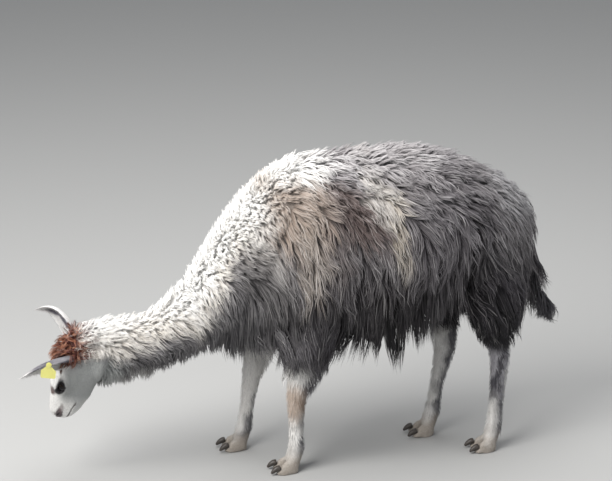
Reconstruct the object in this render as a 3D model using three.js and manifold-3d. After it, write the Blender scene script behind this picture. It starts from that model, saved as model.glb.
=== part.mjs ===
// A life-size llama that stands with its head lowered to graze, parted into the pieces that a person would name.
// Millimetres, +Z up. X runs towards the tail, Y towards the animal's right side, and the soles stand on Z = 0.
// The outlines are those of the coat's tips: long fleece on trunk, neck, thighs and tail, short hair elsewhere.
import * as THREE from "three";
import { mergeVertices } from "three/addons/utils/BufferGeometryUtils.js";
import Module from "manifold-3d";

const wasm = await Module();
wasm.setup();

// ---- Driving dimensions ------------------------------------------------------------------------------------

const GAP = 0.4; // the thin cut between two pieces of the body
const LOCK_DEPTH = 20; // how far a hanging lock of the hem reaches below the notch beside it

// Neck and trunk from the poll to the rump: top line, under line or hem, half of the width, and how square the
// lower half of the section is (2 is an ellipse; the flank's fleece hangs like a curtain).
const BODY = [
  { x: -812, top: 532, hem: 410, half: 48, square: 2.0 },
  { x: -786, top: 574, hem: 378, half: 70, square: 2.0 },
  { x: -745, top: 600, hem: 352, half: 84, square: 2.0 },
  { x: -673, top: 608, hem: 368, half: 88, square: 2.0 },
  { x: -607, top: 600, hem: 382, half: 90, square: 2.0 },
  { x: -553, top: 624, hem: 390, half: 94, square: 2.0 },
  { x: -498, top: 670, hem: 404, half: 100, square: 2.0 },
  { x: -451, top: 716, hem: 423, half: 108, square: 2.0 },
  { x: -385, top: 812, hem: 454, half: 128, square: 2.1 },
  { x: -334, top: 890, hem: 474, half: 152, square: 2.3 },
  { x: -284, top: 956, hem: 470, half: 176, square: 2.5 },
  { x: -223, top: 1028, hem: 450, half: 200, square: 2.6 },
  { x: -136, top: 1104, hem: 432, half: 224, square: 2.8 },
  { x: -40, top: 1142, hem: 428, half: 246, square: 2.9 },
  { x: 90, top: 1152, hem: 444, half: 262, square: 2.9 },
  { x: 220, top: 1158, hem: 418, half: 272, square: 2.9 },
  { x: 320, top: 1158, hem: 452, half: 276, square: 2.9 },
  { x: 420, top: 1146, hem: 546, half: 274, square: 2.8 },
  { x: 520, top: 1122, hem: 616, half: 264, square: 2.7 },
  { x: 630, top: 1072, hem: 630, half: 244, square: 2.6 },
  { x: 715, top: 1026, hem: 626, half: 212, square: 2.5 },
  { x: 775, top: 978, hem: 632, half: 168, square: 2.4 },
  { x: 815, top: 918, hem: 650, half: 122, square: 2.2 },
  { x: 838, top: 848, hem: 690, half: 72, square: 2.0 },
  { x: 848, top: 796, hem: 736, half: 26, square: 2.0 },
];
const WIDEST_AT = 0.47; // the widest level, as a share of the way from the hem to the back
const CHEST = -300; // the hanging locks of the hem begin behind this

// The head's own frame: origin at the poll, x to the nose, y to the animal's left, z to the forehead.
const POLL = new THREE.Vector3(-820, -12, 520);
const HEAD_PITCH = 81; // degrees that the nose points below the level
const HEAD_TURN = 0; // degrees that the face turns to the animal's left
const HEAD_TILT = 13; // degrees that the left ear is lower than the right one

// The head from the nape to the lips: forehead and nose line, jaw line and half of the width.
const HEAD = [
  { x: -74, top: -22, base: -50, half: 16 },
  { x: -62, top: 8, base: -76, half: 43 },
  { x: -42, top: 46, base: -100, half: 62 },
  { x: -16, top: 74, base: -120, half: 70 },
  { x: 22, top: 88, base: -132, half: 73 },
  { x: 60, top: 91, base: -134, half: 71 },
  { x: 96, top: 89, base: -130, half: 68 },
  { x: 128, top: 86, base: -122, half: 64 },
  { x: 156, top: 82, base: -111, half: 58 },
  { x: 186, top: 77, base: -97, half: 49 },
  { x: 218, top: 73, base: -75, half: 42 },
  { x: 248, top: 69, base: -56, half: 39 },
  { x: 274, top: 66, base: -41, half: 37 },
  { x: 292, top: 60, base: -28, half: 33 },
  { x: 305, top: 48, base: -13, half: 23 },
  { x: 311, top: 35, base: 3, half: 9 },
];
const EYE = new THREE.Vector3(150, 54, 50);
const EYE_RADIUS = 18;
const ORBIT = { x: 33, y: 22, z: 28, out: 44 };
const NOSTRIL = { at: [295, 21, 43], x: 15, y: 7, z: 5 };
const MOUTH = { x: 300, z: 4, long: 72, thick: 3, slope: 0.3 }; // the slit between the lips

// Ears: root, bend and tip of the middle line, and the way that the cup opens.
const EAR_LEFT = { root: [-854, -60, 472], bend: [-950, -98, 468], tip: [-1050, -96, 434], open: [0.1, -0.7, -0.7] };
const EAR_RIGHT = { root: [-836, 54, 508], bend: [-876, 92, 632], tip: [-961, 96, 613], open: [-0.5, -0.55, -0.45] };
const EAR_SECTIONS = [
  { half: 24, wrap: 140 },
  { half: 31, wrap: 122 },
  { half: 32, wrap: 108 },
  { half: 31, wrap: 98 },
  { half: 25, wrap: 90 },
  { half: 14, wrap: 84 },
  { half: 4, wrap: 80 },
]; // half of the width, and degrees that the cup wraps to either side
const EAR_THICK = 6;

// Ear tag: a plain flag with a round stud, on a stem through the ear.
const TAG = { wide: 52, high: 42, neck: 16, thick: 2.4, corner: 7, studRadius: 8, stem: 16, stemRadius: 2.2 };

// Legs from the hip or elbow down to the fetlock: middle, half of the depth and half of the width.
const LEG_FRONT_LEFT = [
  { x: 0, y: -98, z: 620, deep: 84, wide: 70 },
  { x: -2, y: -112, z: 500, deep: 98, wide: 72 },
  { x: -8, y: -120, z: 415, deep: 90, wide: 64 },
  { x: -44, y: -123, z: 350, deep: 64, wide: 48 },
  { x: -64, y: -124, z: 305, deep: 48, wide: 40 },
  { x: -70, y: -124, z: 250, deep: 37, wide: 33 },
  { x: -70, y: -124, z: 170, deep: 29, wide: 27 },
  { x: -68, y: -124, z: 96, deep: 33, wide: 33 },
  { x: -78, y: -124, z: 52, deep: 32, wide: 36 },
  { x: -88, y: -124, z: 28, deep: 30, wide: 34 },
];
const LEG_FRONT_RIGHT = [
  { x: -60, y: 98, z: 620, deep: 84, wide: 70 },
  { x: -88, y: 112, z: 500, deep: 90, wide: 70 },
  { x: -122, y: 120, z: 415, deep: 76, wide: 58 },
  { x: -148, y: 123, z: 355, deep: 58, wide: 46 },
  { x: -164, y: 124, z: 312, deep: 47, wide: 39 },
  { x: -178, y: 124, z: 250, deep: 36, wide: 32 },
  { x: -190, y: 124, z: 170, deep: 29, wide: 27 },
  { x: -200, y: 124, z: 96, deep: 33, wide: 33 },
  { x: -210, y: 124, z: 52, deep: 32, wide: 36 },
  { x: -220, y: 124, z: 28, deep: 30, wide: 34 },
];
const LEG_HIND_LEFT = [
  { x: 640, y: -108, z: 810, deep: 100, wide: 80 },
  { x: 672, y: -120, z: 690, deep: 136, wide: 110 },
  { x: 674, y: -124, z: 596, deep: 132, wide: 108 },
  { x: 666, y: -124, z: 530, deep: 120, wide: 96 },
  { x: 666, y: -124, z: 482, deep: 96, wide: 74 },
  { x: 680, y: -123, z: 440, deep: 58, wide: 46 },
  { x: 688, y: -122, z: 400, deep: 46, wide: 37 },
  { x: 696, y: -122, z: 350, deep: 42, wide: 34 },
  { x: 695, y: -122, z: 312, deep: 39, wide: 32 },
  { x: 688, y: -122, z: 235, deep: 33, wide: 28 },
  { x: 684, y: -122, z: 165, deep: 30, wide: 27 },
  { x: 680, y: -122, z: 98, deep: 34, wide: 33 },
  { x: 670, y: -122, z: 54, deep: 32, wide: 36 },
  { x: 660, y: -122, z: 28, deep: 30, wide: 34 },
];
const LEG_HIND_RIGHT = [
  { x: 630, y: 108, z: 810, deep: 100, wide: 80 },
  { x: 634, y: 118, z: 690, deep: 144, wide: 110 },
  { x: 590, y: 114, z: 596, deep: 130, wide: 104 },
  { x: 552, y: 102, z: 520, deep: 104, wide: 86 },
  { x: 542, y: 90, z: 460, deep: 76, wide: 60 },
  { x: 546, y: 84, z: 410, deep: 60, wide: 45 },
  { x: 554, y: 80, z: 365, deep: 52, wide: 38 },
  { x: 548, y: 78, z: 310, deep: 43, wide: 33 },
  { x: 528, y: 77, z: 230, deep: 33, wide: 28 },
  { x: 516, y: 76, z: 160, deep: 30, wide: 27 },
  { x: 508, y: 76, z: 98, deep: 34, wide: 33 },
  { x: 496, y: 76, z: 54, deep: 32, wide: 36 },
  { x: 486, y: 76, z: 28, deep: 30, wide: 34 },
];
const THIGH_TOP = 700; // level of the cut between the trunk and the hind legs
const THIGH_FRONT = { left: 505, right: 440 }; // the trunk's own fleece ends here over the hind legs
const THIGH_HEM = 420; // below this the whole leg is one piece

// A toe from heel to tip, along its own length: height and half of the width. The nail sits on its tip.
const TOE = [
  { x: 30, high: 20, half: 10 },
  { x: 18, high: 44, half: 19 },
  { x: -6, high: 54, half: 22 },
  { x: -30, high: 46, half: 22 },
  { x: -50, high: 35, half: 19 },
  { x: -63, high: 24, half: 14 },
];
const TOE_APART = 23; // from the middle of the foot to the middle of a toe
const TOE_SPLAY = 5; // degrees that each toe turns outwards
const NAIL = [
  { x: -43, z: 27, deep: 11, wide: 13 },
  { x: -57, z: 25, deep: 12, wide: 12 },
  { x: -69, z: 17, deep: 9, wide: 9 },
  { x: -78, z: 8, deep: 4, wide: 4 },
];

const TAIL = [
  { x: 790, y: 0, z: 930, deep: 30, wide: 36 },
  { x: 820, y: 0, z: 878, deep: 36, wide: 46 },
  { x: 834, y: -2, z: 790, deep: 34, wide: 52 },
  { x: 843, y: -4, z: 700, deep: 34, wide: 54 },
  { x: 856, y: -7, z: 612, deep: 32, wide: 50 },
  { x: 886, y: -10, z: 535, deep: 26, wide: 38 },
  { x: 918, y: -13, z: 475, deep: 15, wide: 20 },
  { x: 934, y: -14, z: 448, deep: 4, wide: 6 },
];

// ---- Shape tools --------------------------------------------------------------------------------------------

// A smooth value along a table's rows, which never overshoots them. The argument counts rows, or reads row.x.
function smooth(rows, key, by = null) {
  const at = rows.map((row, i) => (by ? row[by] : i));
  const value = rows.map((row) => row[key]);
  const rise = value.slice(1).map((v, i) => (v - value[i]) / (at[i + 1] - at[i]));
  const slope = value.map((_, i) => {
    const before = rise[Math.max(i - 1, 0)];
    const after = rise[Math.min(i, rise.length - 1)];
    return before * after > 0 ? (2 * before * after) / (before + after) : 0;
  });
  return (x) => {
    let i = 0;
    while (i < at.length - 2 && (x - at[i + 1]) * Math.sign(at[i + 1] - at[i]) > 0) i++;
    const span = at[i + 1] - at[i];
    const t = THREE.MathUtils.clamp((x - at[i]) / span, 0, 1);
    const [a, b] = [value[i], value[i + 1]];
    const ease = t * t * (3 - 2 * t);
    return a + (b - a) * ease + span * t * (1 - t) * ((1 - t) * slope[i] - t * slope[i + 1]);
  };
}

// A closed solid through rings with the same even number of points. Each end is closed by a strip across it.
function loft(rings) {
  const sides = rings[0].length;
  const end = (rings.length - 1) * sides;
  const corners = [];
  for (let j = 0; j < sides; j++) {
    const next = (j + 1) % sides;
    for (let i = 0; i + 1 < rings.length; i++) {
      const [a, b] = [i * sides + j, i * sides + next];
      corners.push(a, b, b + sides, a, b + sides, a + sides);
    }
  }
  for (let j = 0; j + 1 < sides / 2; j++) {
    const [a, b, c, d] = [j, j + 1, sides - 2 - j, sides - 1 - j];
    corners.push(a, c, b, a, d, c);
    corners.push(end + a, end + b, end + c, end + a, end + c, end + d);
  }
  const geometry = new THREE.BufferGeometry().setFromPoints(rings.flat());
  geometry.setIndex(corners);
  return geometry;
}

// One ring round a middle: an ellipse whose lower half may be squarer and have its own depth.
function ring(middle, side, up, half, above, below, sides, square = 2) {
  return Array.from({ length: sides }, (_, i) => {
    const angle = (2 * Math.PI * i) / sides;
    const [c, s] = [Math.cos(angle), Math.sin(angle)];
    const power = 2 / (s < 0 ? square : 2);
    const across = Math.sign(c) * Math.abs(c) ** power * half;
    const along = Math.sign(s) * Math.abs(s) ** power * (s < 0 ? below : above);
    return middle.clone().addScaledVector(side, across).addScaledVector(up, along);
  });
}

const X = new THREE.Vector3(1, 0, 0);
const Y = new THREE.Vector3(0, 1, 0);
const Z = new THREE.Vector3(0, 0, 1);

// A limb along its rows, with oval sections square to its middle line.
function limb(rows, steps, sides) {
  const [x, y, z, deep, wide] = ["x", "y", "z", "deep", "wide"].map((key) => smooth(rows, key));
  const at = (t) => new THREE.Vector3(x(t), y(t), z(t));
  const end = rows.length - 1;
  const rings = [];
  for (let k = 0; k <= steps; k++) {
    const t = (end * k) / steps;
    const way = at(Math.min(t + 0.2, end)).sub(at(Math.max(t - 0.2, 0))).normalize();
    const side = Y.clone().addScaledVector(way, -way.y).normalize();
    const up = way.clone().cross(side);
    rings.push(ring(at(t), side, up, wide(t), deep(t), deep(t), sides));
  }
  return loft(rings);
}

// The same number of stations between a table's first and last x, closer together towards the last.
function stations(rows, steps, crowd = 1) {
  const [from, to] = [rows[0].x, rows.at(-1).x];
  return Array.from({ length: steps + 1 }, (_, k) => from + (to - from) * (1 - (1 - k / steps) ** crowd));
}

function ball({ at, x, y, z }, mirror = 1, detail = 16) {
  const geometry = new THREE.SphereGeometry(1, detail, Math.ceil(detail * 0.6));
  return geometry.scale(x, y, z).translate(at[0], at[1] * mirror, at[2]);
}

// ---- Joining and cutting ------------------------------------------------------------------------------------

function solid(geometry, matrix = new THREE.Matrix4()) {
  const bare = new THREE.BufferGeometry().setAttribute("position", geometry.getAttribute("position").clone());
  if (geometry.index) bare.setIndex(geometry.index.clone());
  const merged = mergeVertices(bare.applyMatrix4(matrix), 1e-3);
  const mesh = { numProp: 3, vertProperties: merged.attributes.position.array };
  const made = new wasm.Manifold(new wasm.Mesh({ ...mesh, triVerts: new Uint32Array(merged.index.array) }));
  if (made.volume() < 0) throw new Error("a solid is inside out");
  return made;
}

function geometryOf(shape) {
  const mesh = shape.getMesh();
  const geometry = new THREE.BufferGeometry();
  geometry.setAttribute("position", new THREE.BufferAttribute(new Float32Array(mesh.vertProperties), 3));
  geometry.setIndex(new THREE.BufferAttribute(new Uint32Array(mesh.triVerts), 1));
  geometry.computeVertexNormals();
  return geometry;
}

// A block between two corners, for cutting.
function block(low, high) {
  const size = high.map((v, i) => v - low[i]);
  const middle = high.map((v, i) => (v + low[i]) / 2);
  return solid(new THREE.BoxGeometry(...size).translate(...middle));
}

// Everything on the side of a plane that its normal points to.
function beyond(point, normal, reach = 3000) {
  const turn = new THREE.Quaternion().setFromUnitVectors(Z, normal.clone().normalize());
  const place = new THREE.Matrix4().compose(point, turn, new THREE.Vector3(1, 1, 1));
  return solid(new THREE.BoxGeometry(reach, reach, reach).translate(0, 0, reach / 2), place);
}

const join = (shapes) => shapes.reduce((sum, shape) => sum.add(shape));

// ---- Body ---------------------------------------------------------------------------------------------------

// Every third station is a notch between two of the hem's locks.
function bodyShape(steps = 57, sides = 22) {
  const [top, hem, half, square] = ["top", "hem", "half", "square"].map((key) => smooth(BODY, key, "x"));
  const rings = stations(BODY, steps).map((x, k) => {
    const share = THREE.MathUtils.clamp((x - CHEST) / 120, 0, 1);
    const low = hem(x) + (k % 3 === 0 ? 0.6 : -0.4) * LOCK_DEPTH * share;
    const level = low + (top(x) - low) * WIDEST_AT;
    const middle = new THREE.Vector3(x, 0, level);
    return ring(middle, Y, Z, half(x), top(x) - level, level - low, sides, square(x));
  });
  return solid(loft(rings));
}

function headPlace() {
  const pitch = THREE.MathUtils.degToRad(HEAD_PITCH);
  const nose = new THREE.Vector3(-Math.cos(pitch), 0, -Math.sin(pitch));
  const forehead = new THREE.Vector3(-Math.sin(pitch), 0, Math.cos(pitch));
  const turn = new THREE.Matrix4().makeRotationZ(THREE.MathUtils.degToRad(HEAD_TURN));
  const tilt = new THREE.Matrix4().makeRotationX(THREE.MathUtils.degToRad(HEAD_TILT));
  const axes = new THREE.Matrix4().makeBasis(nose, Y.clone().negate(), forehead);
  return turn.multiply(tilt).multiply(axes).setPosition(POLL);
}
const HEAD_PLACE = headPlace();

function eyeShape(mirror, radius) {
  const geometry = new THREE.SphereGeometry(radius, 12, 8);
  return solid(geometry.translate(EYE.x, EYE.y * mirror, EYE.z), HEAD_PLACE);
}

function mouthSlit() {
  const { x, z, long, thick, slope } = MOUTH;
  return new THREE.BoxGeometry(long, 2 * long, thick).rotateY(-slope).translate(x, 0, z);
}

function headShape(steps = 18, around = 22) {
  const [top, base, half] = ["top", "base", "half"].map((key) => smooth(HEAD, key, "x"));
  const rings = stations(HEAD, steps, 1.25).map((x) => {
    const middle = new THREE.Vector3(x, 0, (top(x) + base(x)) / 2);
    const high = (top(x) - base(x)) / 2;
    return ring(middle, Y, Z, half(x), high, high, around, 2.3);
  });
  const orbit = (side) => ball({ ...ORBIT, at: [EYE.x, ORBIT.out, EYE.z] }, side, 12);
  const flesh = [loft(rings), orbit(1), orbit(-1)].map((geometry) => solid(geometry, HEAD_PLACE));
  const hollows = [ball(NOSTRIL, 1, 8), ball(NOSTRIL, -1, 8), mouthSlit()];
  return join(flesh).subtract(join(hollows.map((geometry) => solid(geometry, HEAD_PLACE))));
}

function earShape({ root, bend, tip, open }, steps = 10, points = 7) {
  const line = new THREE.QuadraticBezierCurve3(...[root, bend, tip].map((p) => new THREE.Vector3(...p)));
  const [half, wrap] = ["half", "wrap"].map((key) => smooth(EAR_SECTIONS, key));
  const rings = [];
  for (let k = 0; k <= steps; k++) {
    const t = k / steps;
    const row = t * (EAR_SECTIONS.length - 1);
    const way = line.getTangent(t);
    const mouth = new THREE.Vector3(...open).normalize();
    mouth.addScaledVector(way, -mouth.dot(way)).normalize();
    const side = mouth.clone().cross(way);
    const reach = THREE.MathUtils.degToRad(wrap(row));
    const thick = Math.min(EAR_THICK, half(row) * 0.8);
    const arc = (radius, from, to) =>
      Array.from({ length: points }, (_, i) => {
        const angle = from + ((to - from) * i) / (points - 1);
        const across = Math.sin(angle) * radius;
        const back = Math.cos(angle) * radius * 0.8;
        return line.getPoint(t).addScaledVector(side, across).addScaledVector(mouth, -back);
      });
    rings.push([...arc(half(row), -reach, reach), ...arc(half(row) - thick, reach, -reach)]);
  }
  return solid(loft(rings));
}

// The two toes of one foot, and their nails, ahead of the ankle's last row.
function toePlace(rows, side) {
  const ankle = rows.at(-1);
  const turn = new THREE.Matrix4().makeRotationZ(THREE.MathUtils.degToRad(-side * TOE_SPLAY));
  return turn.setPosition(ankle.x - 4, ankle.y + side * TOE_APART, 0);
}

function toeShape(place) {
  const [high, half] = ["high", "half"].map((key) => smooth(TOE, key));
  const rings = [];
  for (let k = 0; k <= 5; k++) {
    const t = ((TOE.length - 1) * k) / 5;
    const middle = new THREE.Vector3(smooth(TOE, "x")(t), 0, 0);
    rings.push(ring(middle, Y.clone().negate(), Z, half(t), high(t), 0, 8));
  }
  return solid(loft(rings), place);
}

function nailShape(place, room = 0) {
  const rows = NAIL.map(({ x, z, deep, wide }) => ({ x, y: 0, z, deep: deep + room, wide: wide + room }));
  rows[0].x += room;
  return solid(limb(rows, 3, 8), place);
}

function legShape(rows, steps) {
  const toes = [-1, 1].map((side) => toeShape(toePlace(rows, side)));
  return join([solid(limb(rows, steps, 10)), ...toes]);
}

// ---- Parting the body into nodes ----------------------------------------------------------------------------

const LEGS = {
  front_left: LEG_FRONT_LEFT,
  front_right: LEG_FRONT_RIGHT,
  hind_left: LEG_HIND_LEFT,
  hind_right: LEG_HIND_RIGHT,
};

const materials = {
  fleece: new THREE.MeshStandardMaterial({ color: 0xa79f98, roughness: 0.95, metalness: 0 }),
  white_wool: new THREE.MeshStandardMaterial({ color: 0xd9d2c8, roughness: 0.95, metalness: 0 }),
  dark_wool: new THREE.MeshStandardMaterial({ color: 0x6d655f, roughness: 0.95, metalness: 0 }),
  leg_hair: new THREE.MeshStandardMaterial({ color: 0xc4bcb2, roughness: 0.9, metalness: 0 }),
  ear_hair: new THREE.MeshStandardMaterial({ color: 0xd2ccc6, roughness: 0.9, metalness: 0 }),
  eye: new THREE.MeshStandardMaterial({ color: 0x120d0c, roughness: 0.08, metalness: 0 }),
  nail: new THREE.MeshStandardMaterial({ color: 0x4a423b, roughness: 0.6, metalness: 0 }),
  tag: new THREE.MeshStandardMaterial({ color: 0xf0e85a, roughness: 0.5, metalness: 0 }),
};

function node(name, shape, material) {
  const mesh = new THREE.Mesh(geometryOf(shape), materials[material]);
  mesh.name = name;
  return mesh;
}

function buildTag() {
  const { wide, high, neck, corner, thick, studRadius } = TAG;
  const flag = new THREE.Shape();
  flag.moveTo(-neck / 2, 0);
  flag.lineTo(-wide / 2, -neck);
  flag.lineTo(-wide / 2, -high + corner);
  flag.quadraticCurveTo(-wide / 2, -high, -wide / 2 + corner, -high);
  flag.lineTo(wide / 2 - corner, -high);
  flag.quadraticCurveTo(wide / 2, -high, wide / 2, -high + corner);
  flag.lineTo(wide / 2, -neck);
  flag.lineTo(neck / 2, 0);
  flag.absarc(0, 4, neck / 2 + 2, -0.35, Math.PI + 0.35, false);
  const plate = new THREE.ExtrudeGeometry(flag, { depth: thick, bevelEnabled: false, curveSegments: 5 });
  const stud = new THREE.CylinderGeometry(studRadius, studRadius, 3, 12).rotateX(Math.PI / 2);
  return join([solid(plate), solid(stud.translate(0, 4, thick + 1)), tagStem(0)]);
}

function tagStem(room) {
  const radius = TAG.stemRadius + room;
  const stem = new THREE.CylinderGeometry(radius, radius, TAG.stem + room, 8).rotateX(Math.PI / 2);
  return solid(stem.translate(0, 4, 1 - (TAG.stem + room) / 2));
}
const TAG_PLACE = new THREE.Matrix4().compose(
  new THREE.Vector3(-946, -120, 484),
  new THREE.Quaternion().setFromEuler(new THREE.Euler(Math.PI / 2 - 0.12, 0.1, -0.25, "ZYX")),
  new THREE.Vector3(1, 1, 1),
);

const SHOULDER_CUT = { point: new THREE.Vector3(-250, 0, 740), normal: new THREE.Vector3(-0.86, 0, 0.5) };
const THROAT_CUT = { point: new THREE.Vector3(-730, 0, 470), normal: new THREE.Vector3(-0.97, 0, 0.24) };
const ahead = ({ point, normal }, gap) => beyond(point.clone().addScaledVector(normal, gap), normal);

// The room of one hind leg, a little larger when it is cut from the trunk.
function thighRoom(name, room = 0) {
  const [near, far] = [GAP / 2 - room, 400];
  const [low, high] = name === "left" ? [-far, -near] : [near, far];
  const front = THIGH_FRONT[name] - room;
  const upper = block([front, low, THIGH_HEM - 10], [1000, high, THIGH_TOP + room]);
  return upper.add(block([300, low, -10], [1000, high, THIGH_HEM]));
}

function partLegs(body) {
  return Object.entries(LEGS).map(([name, rows]) => {
    const hind = name.startsWith("hind");
    const places = [-1, 1].map((side) => toePlace(rows, side));
    const whole = legShape(rows, hind ? 16 : 13);
    const leg = hind
      ? whole.add(body).intersect(thighRoom(name.slice(5)))
      : whole.subtract(body.translate([0, 0, -GAP]));
    const room = join(places.map((place) => nailShape(place, GAP)));
    return { name, leg: leg.subtract(room), nails: places.map((place) => nailShape(place)) };
  });
}

function buildLlama() {
  const llama = new THREE.Group();
  const body = bodyShape();
  const head = headShape();
  const both = body.add(head);
  const haunches = [LEG_HIND_LEFT, LEG_HIND_RIGHT].map((rows) => solid(limb(rows, 16, 10)));

  const hips = thighRoom("left", GAP).add(thighRoom("right", GAP));
  llama.add(node("trunk", join([body, ...haunches]).subtract(hips).subtract(ahead(SHOULDER_CUT, 0)), "fleece"));
  const frontHalf = both.intersect(ahead(SHOULDER_CUT, GAP));
  llama.add(node("neck", frontHalf.subtract(ahead(THROAT_CUT, 0)), "white_wool"));

  const sides = { left: 1, right: -1 };
  const eyeRoom = join(Object.values(sides).map((side) => eyeShape(side, EYE_RADIUS + GAP)));
  const bareHead = frontHalf.intersect(ahead(THROAT_CUT, GAP));
  llama.add(node("head", bareHead.subtract(eyeRoom), "white_wool"));
  for (const [name, side] of Object.entries(sides)) {
    llama.add(node("eye_" + name, eyeShape(side, EYE_RADIUS), "eye"));
  }
  const headRoom = head.add(head.translate([-0.1, 0, GAP]));
  const stemRoom = tagStem(GAP).transform([...TAG_PLACE.elements]);
  llama.add(node("ear_left", earShape(EAR_LEFT).subtract(headRoom).subtract(stemRoom), "ear_hair"));
  llama.add(node("ear_right", earShape(EAR_RIGHT).subtract(headRoom), "ear_hair"));
  llama.add(node("ear_tag", buildTag().transform([...TAG_PLACE.elements]), "tag"));

  const tailRoom = join([body, ...haunches]).translate([2 * GAP, 0, 0]);
  llama.add(node("tail", solid(limb(TAIL, 13, 12)).subtract(tailRoom), "dark_wool"));

  for (const { name, leg, nails } of partLegs(body)) {
    llama.add(node("leg_" + name, leg, "leg_hair"));
    llama.add(node("nail_" + name + "_outer", nails[name.endsWith("left") ? 0 : 1], "nail"));
    llama.add(node("nail_" + name + "_inner", nails[name.endsWith("left") ? 1 : 0], "nail"));
  }
  const box = new THREE.Box3().setFromObject(llama);
  const middle = box.getCenter(new THREE.Vector3());
  llama.children.forEach((mesh) => mesh.geometry.translate(-middle.x, -middle.y, -box.min.z));
  return llama;
}

export default buildLlama();
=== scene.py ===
import itertools
import math

import bmesh
import bpy
import numpy as np
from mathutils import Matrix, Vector
from mathutils.bvhtree import BVHTree
from mathutils.kdtree import KDTree


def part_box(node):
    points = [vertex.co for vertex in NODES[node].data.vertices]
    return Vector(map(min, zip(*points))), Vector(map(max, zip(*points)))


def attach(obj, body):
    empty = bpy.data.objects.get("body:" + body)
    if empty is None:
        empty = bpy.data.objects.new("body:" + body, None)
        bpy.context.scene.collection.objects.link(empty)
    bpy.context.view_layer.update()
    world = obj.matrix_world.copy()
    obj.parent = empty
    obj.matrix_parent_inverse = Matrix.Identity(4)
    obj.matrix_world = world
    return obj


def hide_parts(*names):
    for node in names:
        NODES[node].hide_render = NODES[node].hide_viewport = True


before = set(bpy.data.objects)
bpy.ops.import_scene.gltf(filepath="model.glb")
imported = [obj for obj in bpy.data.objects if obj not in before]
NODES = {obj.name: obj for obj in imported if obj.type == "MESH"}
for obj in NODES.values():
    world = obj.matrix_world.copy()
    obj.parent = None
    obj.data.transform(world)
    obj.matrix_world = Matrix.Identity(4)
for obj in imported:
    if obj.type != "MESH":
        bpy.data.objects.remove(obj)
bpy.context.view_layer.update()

FLESH = (
    "trunk",
    "neck",
    "head",
    "tail",
    "leg_front_left",
    "leg_front_right",
    "leg_hind_left",
    "leg_hind_right",
    "ear_left",
    "ear_right",
)
NAMES = np.array(FLESH)
NAILS = [name for name in NODES if name.startswith("nail_")]
EYES = ((1, "eye_left"), (-1, "eye_right"))  # which way each lies from the middle of the head


# ---------------------------------------------------------------- landmarks
def corners(node):
    low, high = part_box(node)
    return np.array(low), np.array(high)


def centre(node):
    low, high = corners(node)
    return (low + high) / 2


TRUNK_LOW, TRUNK_HIGH = corners("trunk")
ORIGIN_X = TRUNK_HIGH[0] - 0.848  # the shoulder plane: places along the body are given from it
HEAD_PITCH = math.radians(81)  # the nose points this far below level
EYE_AT = np.array([0.150, 0.054, 0.050])  # in the head's own frame: nose, left, forehead
EYE_LEFT, EYE_RIGHT = centre("eye_left"), centre("eye_right")


def unit(v):
    v = np.asarray(v, float)
    return v / np.maximum(np.linalg.norm(v, axis=-1, keepdims=True), 1e-12)


def dot(a, b):
    return (a * b).sum(-1)


LEFT = unit(EYE_LEFT - EYE_RIGHT)
TILT = math.atan2(-LEFT[2], -LEFT[1])
PITCH_COS, PITCH_SIN = math.cos(HEAD_PITCH), math.sin(HEAD_PITCH)
NOSE = np.array([-PITCH_COS, PITCH_SIN * math.sin(TILT), -PITCH_SIN * math.cos(TILT)])
FORE = np.array([-PITCH_SIN, -PITCH_COS * math.sin(TILT), PITCH_COS * math.cos(TILT)])
POLL = (EYE_LEFT + EYE_RIGHT) / 2 - EYE_AT[0] * NOSE - EYE_AT[2] * FORE
HEAD_AXES = np.array([NOSE, LEFT, FORE])


def head_local(points):
    """Points in the head's own frame, from the poll: to the nose, the left and the forehead."""
    return (np.asarray(points) - POLL) @ HEAD_AXES.T


def place(x, y, z):
    return np.array([x + ORIGIN_X, y, z])


def from_shoulder(points):
    """The x of each point from the shoulder plane, its y and its level."""
    return points[:, 0] - ORIGIN_X, points[:, 1], points[:, 2]


def part_of(owner, *starts):
    """Which points lie on nodes whose names begin in one of these ways."""
    names = NAMES[owner]
    return np.logical_or.reduce([np.char.startswith(names, start) for start in starts])


def step(low, high, value):
    """A smooth rise from 0 to 1 between two values, or a fall where the first is the greater."""
    t = np.clip((value - low) / (high - low), 0, 1)
    return t * t * (3 - 2 * t)


def bell(distance, size):
    return np.exp(-((distance / size) ** 2))


def mix(a, b, t):
    return a + (b - a) * t


# ---------------------------------------------------------------- mesh tools
def joined_mesh(names):
    bm = bmesh.new()
    owner = []
    for number, name in enumerate(names):
        bm.from_mesh(NODES[name].data)
        owner += [number] * len(NODES[name].data.polygons)
    mesh = bpy.data.meshes.new("joined")
    bm.to_mesh(mesh)
    bm.free()
    return mesh, np.array(owner)


def new_object(name, data):
    obj = bpy.data.objects.new(name, data)
    bpy.context.collection.objects.link(obj)
    return obj


def modified(mesh, kind, where=None, **settings):
    """The mesh as one modifier makes it, over all of it or only where it is said."""
    obj = new_object("source", mesh)
    modifier = obj.modifiers.new("change", kind)
    if where is not None:
        obj.vertex_groups.new(name="body").add(np.nonzero(where)[0].tolist(), 1.0, "REPLACE")
        modifier.vertex_group = "body"
    for key, value in settings.items():
        setattr(modifier, key, value)
    graph = bpy.context.evaluated_depsgraph_get()
    out = bpy.data.meshes.new_from_object(obj.evaluated_get(graph))
    bpy.data.objects.remove(obj, do_unlink=True)
    return out


def vertex_values(mesh, key):
    out = np.empty(len(mesh.vertices) * 3, np.float32)
    mesh.vertices.foreach_get(key, out)
    return out.reshape(-1, 3).astype(float)


def points_of(mesh):
    return vertex_values(mesh, "co")


def normals_of(mesh):
    return vertex_values(mesh, "normal")


def set_points(mesh, points):
    mesh.vertices.foreach_set("co", points.astype(np.float32).ravel())
    mesh.update()


def edges_of(mesh):
    out = np.empty(len(mesh.edges) * 2, np.int32)
    mesh.edges.foreach_get("vertices", out)
    return out.reshape(-1, 2)


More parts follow.
